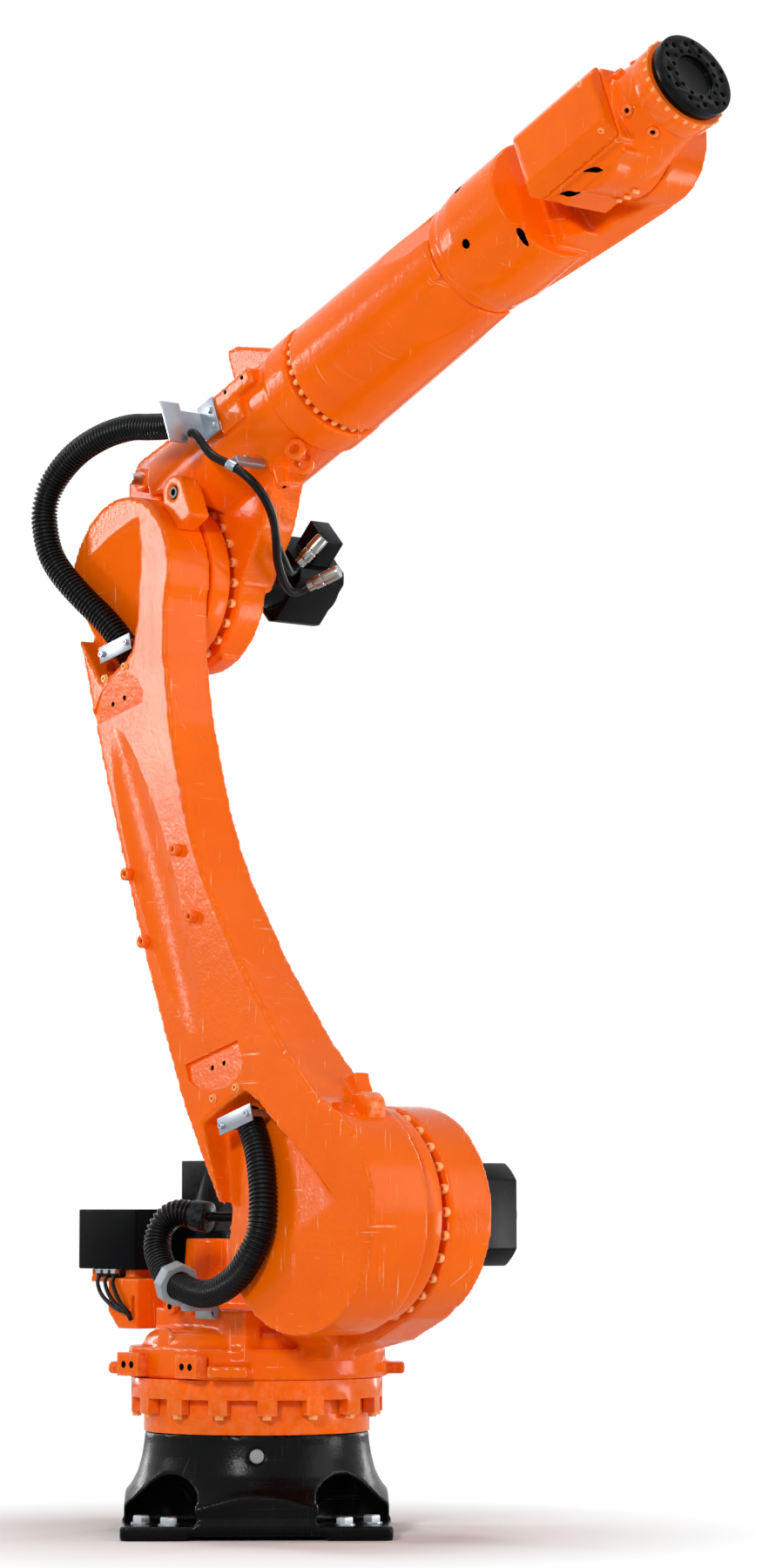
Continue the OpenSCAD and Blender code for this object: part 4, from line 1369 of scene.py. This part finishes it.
@dataclass
class Wrist(Assembly):
    """The wrist block with its cover, neck ring and tool flange.

    Each rear corner has the height of its face, its side and its radius. Each circle of flange holes has its
    radius, its count and the angle of its first hole.
    """

    rear: float = -147.0
    clear: float = 20.0
    corners: tuple[Point, ...] = ((-69.0, -1, 52.0), (79.0, 1, 34.0))
    corner_depth: tuple[float, float] = (-150.0, 60.0)
    slots: tuple[Point, ...] = ((2, -80, -74), (-70, -80, -80))
    neck_circle: float = 84.6
    flange_holes: tuple[tuple[float, int, float], ...] = ((62.5, 12, 0), (47.5, 14, 9), (71.5, 6, 15))

    def _corners(self) -> tuple[Cut, ...]:
        """The rounded rear end, cut through the block and the cover.

        Returns:
            The cuts.
        """
        cuts = []
        x, clear = self.rear, self.clear
        for z, side, radius in self.corners:
            outline = [(x - clear, z + clear * side), (x - clear, z - radius * side), (x, z - radius * side)]
            for k in range(1, 12):
                turn = math.pi / 2 * k / 12
                outline.append((x + radius * (1 - math.cos(turn)), z - radius * side * (1 - math.sin(turn))))
            outline += [(x + radius, z), (x + radius, z + clear * side)]
            loops = tuple(tuple((a, y, b) for a, b in outline[::-side]) for y in self.corner_depth)
            cuts.append(Cut(Axes.WRIST, loops, CAST_ORANGE))
        return tuple(cuts)

    def castings(self) -> list[Casting]:
        """The block with its drain slots, and the cover.

        Returns:
            The castings, in the order in which they are built.
        """
        shape = ((0, -0.6, -0.8), (1, 0.45, -0.34), (12, 22, 4.5))
        # Drain slots whose walls carry painted shade.
        drains = tuple(Cut.scooped(Axes.WRIST, spot, *shape, PAINTED_BORE_SHADE) for spot in self.slots)
        corners = self._corners()
        return [
            Casting("wrist_block", "cast_wrist", Body.WRIST, CAST_ORANGE, 3.2, 12, drains + corners),
            Casting("wrist_cover", "cast_wrist_cover", Body.WRIST, CAST_ORANGE, 3.6, 16, corners),
        ]

    def machined(self) -> list[Machined]:
        """The hub's bolts, the neck ring and the flange.

        Returns:
            The pieces, in the order in which they are built.
        """
        return [
            Machined("wrist_bolts", "wrist_hub_bolts", Body.WRIST, PALE_ORANGE_BOLT, 0.8, 1),
            Machined("neck_ring", "neck_collar", Body.WRIST, TURNED_ORANGE, 2.0),
            Machined("tool_flange", "tool_plate", Body.FLANGE, MOTOR_BLACK, 1.2),
        ]

    def fasteners(self) -> list[Fasteners]:
        """Cover screws, bosses, the neck's bolts and the flange's tapped holes.

        Returns:
            The groups of fasteners, in the order in which they are set.
        """
        on, flange = (Body.WRIST, Axes.WRIST), (Body.FLANGE, Axes.WRIST)
        screws = [((64, -123.4, 53), NEAR), ((72, -114, -45), (0, -0.71, -0.71))]
        bosses = [
            ((104, -61.5, 58.5), (0.13, -0.71, 0.68)), ((116, -80, -26), (0.13, -0.95, -0.27)),
            ((127, -47.4, -67), (0.13, -0.54, -0.83)), ((112, -21, 81), (0.13, -0.25, 0.96)),
            ((104, 66, 56), (0.13, 0.74, 0.66)),
        ]
        bores = [(tuple(Vector(p) + Vector(w).normalized() * 6.4), w) for p, w in bosses]
        bolts = ring_spots((FLANGE_X - 9.6, 0, 0), self.neck_circle, 26, 4, "yz", AHEAD)
        holes = []
        for radius, count, first in self.flange_holes:
            holes += ring_spots((TOOL_X, 0, 0), radius, count, first, "yz", AHEAD)
        return [
            Fasteners("cover_screws", *on, Head.BUTTON, 13, PALE_ORANGE_BOLT, screws),
            Fasteners("neck_bosses", *on, Head.BOSS, 21, TURNED_ORANGE, bosses),
            # Dark discs of painted shade in the boss bores.
            Fasteners("neck_boss_bores", *on, Head.HOLE, 7.8, PAINTED_BORE_SHADE, bores),
            Fasteners("neck_bolts", *on, Head.TALL, 7.6, PALE_ORANGE_BOLT, bolts),
            # Dark discs of painted shade in the flange's tapped holes.
            Fasteners("flange_bores", *flange, Head.HOLE, 8.2, PAINTED_BORE_SHADE, holes),
        ]


@dataclass
class Hoses:
    """The two corrugated hoses and the motor cable."""

    def build(self) -> None:
        """Sweep each hose."""
        Hose(
            "lower_hose", "hose_lower", Body.CAROUSEL, Axes.CAROUSEL, 51, LOW_ROUTE, HOSE_PLASTIC,
            bends=(Body.LINK, Body.CAROUSEL),
        ).build()
        Hose(
            "upper_hose", "hose_upper", Body.LINK, Axes.CAROUSEL, 51, HIGH_ROUTE, HOSE_PLASTIC,
            bends=(Body.LINK, Body.ARM),
        ).build()
        Hose(
            "elbow_motor_cable", "motor_cable", Body.ARM, Axes.ARM, 17, CABLE_ROUTE, CABLE_RUBBER, ribs=False,
            stiffness="medium",
        ).build()
        line = flowed([frame_of(Axes.ARM) @ Vector(p) for p in CABLE_BRANCH], 8)
        settle(swept("elbow_cable_branch", line, 14, CABLE_RUBBER, False), Body.ARM, Slot.HOSE)


# Strength of the world as light on the object.
WORLD_LIGHT = 0.15


@dataclass
class Studio:
    """Camera, floor, lamps and white backdrop."""

    lens: float = 36 * 5054.7 / 1800
    eye: Point = (0.0, -8.3644, 0.6038)
    pitch: float = 5.5
    yaw: float = 1.6

    def build(self) -> None:
        """Set the camera, the floor, the lamps and the world."""
        scene = bpy.context.scene
        scene.view_settings.view_transform = "Standard"
        camera = bpy.data.cameras.new("photo_view")
        camera.sensor_fit = "VERTICAL"
        camera.sensor_height = 36
        camera.lens = self.lens
        camera.clip_end = 100
        view = bpy.data.objects.new("photo_view", camera)
        view.location = self.eye
        view.rotation_euler = (math.radians(90 + self.pitch), 0, math.radians(-self.yaw))
        scene.collection.objects.link(view)
        scene.camera = view
        self._floor()
        self._lamps()
        self._world()

    def _floor(self) -> None:
        """A pale floor that keeps the shadow near the foot and fades to white."""
        bpy.ops.mesh.primitive_plane_add(size=60, location=(0, 0, -0.0005))
        floor = bpy.context.object
        floor.name = "studio_floor"
        material = bpy.data.materials.new("pale_studio_floor")
        material.use_nodes = True
        tree = material.node_tree
        tree.nodes.clear()
        place = add(tree, "ShaderNodeTexCoord").outputs["Object"]
        far = add(tree, "ShaderNodeVectorMath", {0: place}, operation="LENGTH")
        fade = add(tree, "ShaderNodeMapRange", {0: far.outputs["Value"], 1: 0.42, 2: 0.95, 3: 0.0, 4: 1.0})
        rays = add(tree, "ShaderNodeLightPath").outputs
        seen = add(tree, "ShaderNodeMath", {0: fade.outputs[0], 1: rays["Is Camera Ray"]}, operation="MULTIPLY")
        matt = add(tree, "ShaderNodeBsdfDiffuse", {"Color": (0.9, 0.9, 0.9, 1)})
        white = add(tree, "ShaderNodeEmission", {"Color": (1, 1, 1, 1), "Strength": 1.0})
        both = add(tree, "ShaderNodeMixShader", {0: seen.outputs[0], 1: matt.outputs[0], 2: white.outputs[0]})
        add(tree, "ShaderNodeOutputMaterial", {"Surface": both.outputs[0]})
        floor.data.materials.append(material)

    def _lamps(self) -> None:
        """Soft boxes left, in front, right, low and on top, and a rim strip behind on each side."""
        for name, place, target, size, power in (
            ("left_box", (-5.5, 1.3, 2.8), (0.0, 0.0, 1.6), (0.8, 1.7), 100.0),
            ("front_box", (-2.4, -7.4, 3.6), (0.0, 0.0, 1.2), (0.7, 1.2), 270.0),
            ("right_panel", (5.4, -2.0, 2.6), (0.1, 0.0, 1.2), (3.2, 3.4), 90.0),
            ("right_rim", (4.2, 4.6, 2.2), (0.1, 0.0, 1.2), (0.5, 3.6), 90.0),
            ("left_rim", (-3.8, 5.0, 2.2), (0.0, 0.0, 1.2), (0.5, 3.6), 90.0),
            ("low_box", (2.9, -0.3, 0.3), (0.9, 0.0, 2.3), (0.7, 1.0), 26.0),
            ("top_box", (0.2, -0.6, 6.2), (0.2, 0.0, 1.5), (1.6, 1.6), 80.0),
        ):
            lamp = bpy.data.lights.new(name, "AREA")
            lamp.shape = "RECTANGLE"
            lamp.size, lamp.size_y = size
            lamp.energy = power
            box = bpy.data.objects.new(name, lamp)
            box.location = place
            box.rotation_euler = (Vector(target) - Vector(place)).to_track_quat("-Z", "Y").to_euler()
            bpy.context.scene.collection.objects.link(box)

    def _world(self) -> None:
        """White where the camera, metal and glass look, softer on the object."""
        world = bpy.data.worlds.new("white_studio")
        world.use_nodes = True
        tree = world.node_tree
        tree.nodes.clear()
        rays = add(tree, "ShaderNodeLightPath").outputs
        seen = rays["Is Camera Ray"]
        for kind in ("Is Glossy Ray", "Is Transmission Ray"):
            seen = add(tree, "ShaderNodeMath", {0: seen, 1: rays[kind]}, operation="MAXIMUM").outputs[0]
        strength = add(tree, "ShaderNodeMapRange", {0: seen, 1: 0.0, 2: 1.0, 3: WORLD_LIGHT, 4: 1.0}).outputs[0]
        glow = add(tree, "ShaderNodeBackground", {"Color": (1, 1, 1, 1), "Strength": strength})
        add(tree, "ShaderNodeOutputWorld", {"Surface": glow.outputs[0]})
        bpy.context.scene.world = world


def main() -> None:
    """Dress the robot."""
    logging.basicConfig(level=logging.INFO, format="%(name)s: %(message)s")
    for thing in list(bpy.data.objects):
        bpy.data.objects.remove(thing)
    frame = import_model()
    Studio().build()
    Hoses().build()
    for assembly in (Foot(), Carousel(), Link(), Arm(), Forearm(), Wrist()):
        assembly.build(frame)


if __name__ == "__main__":
    main()
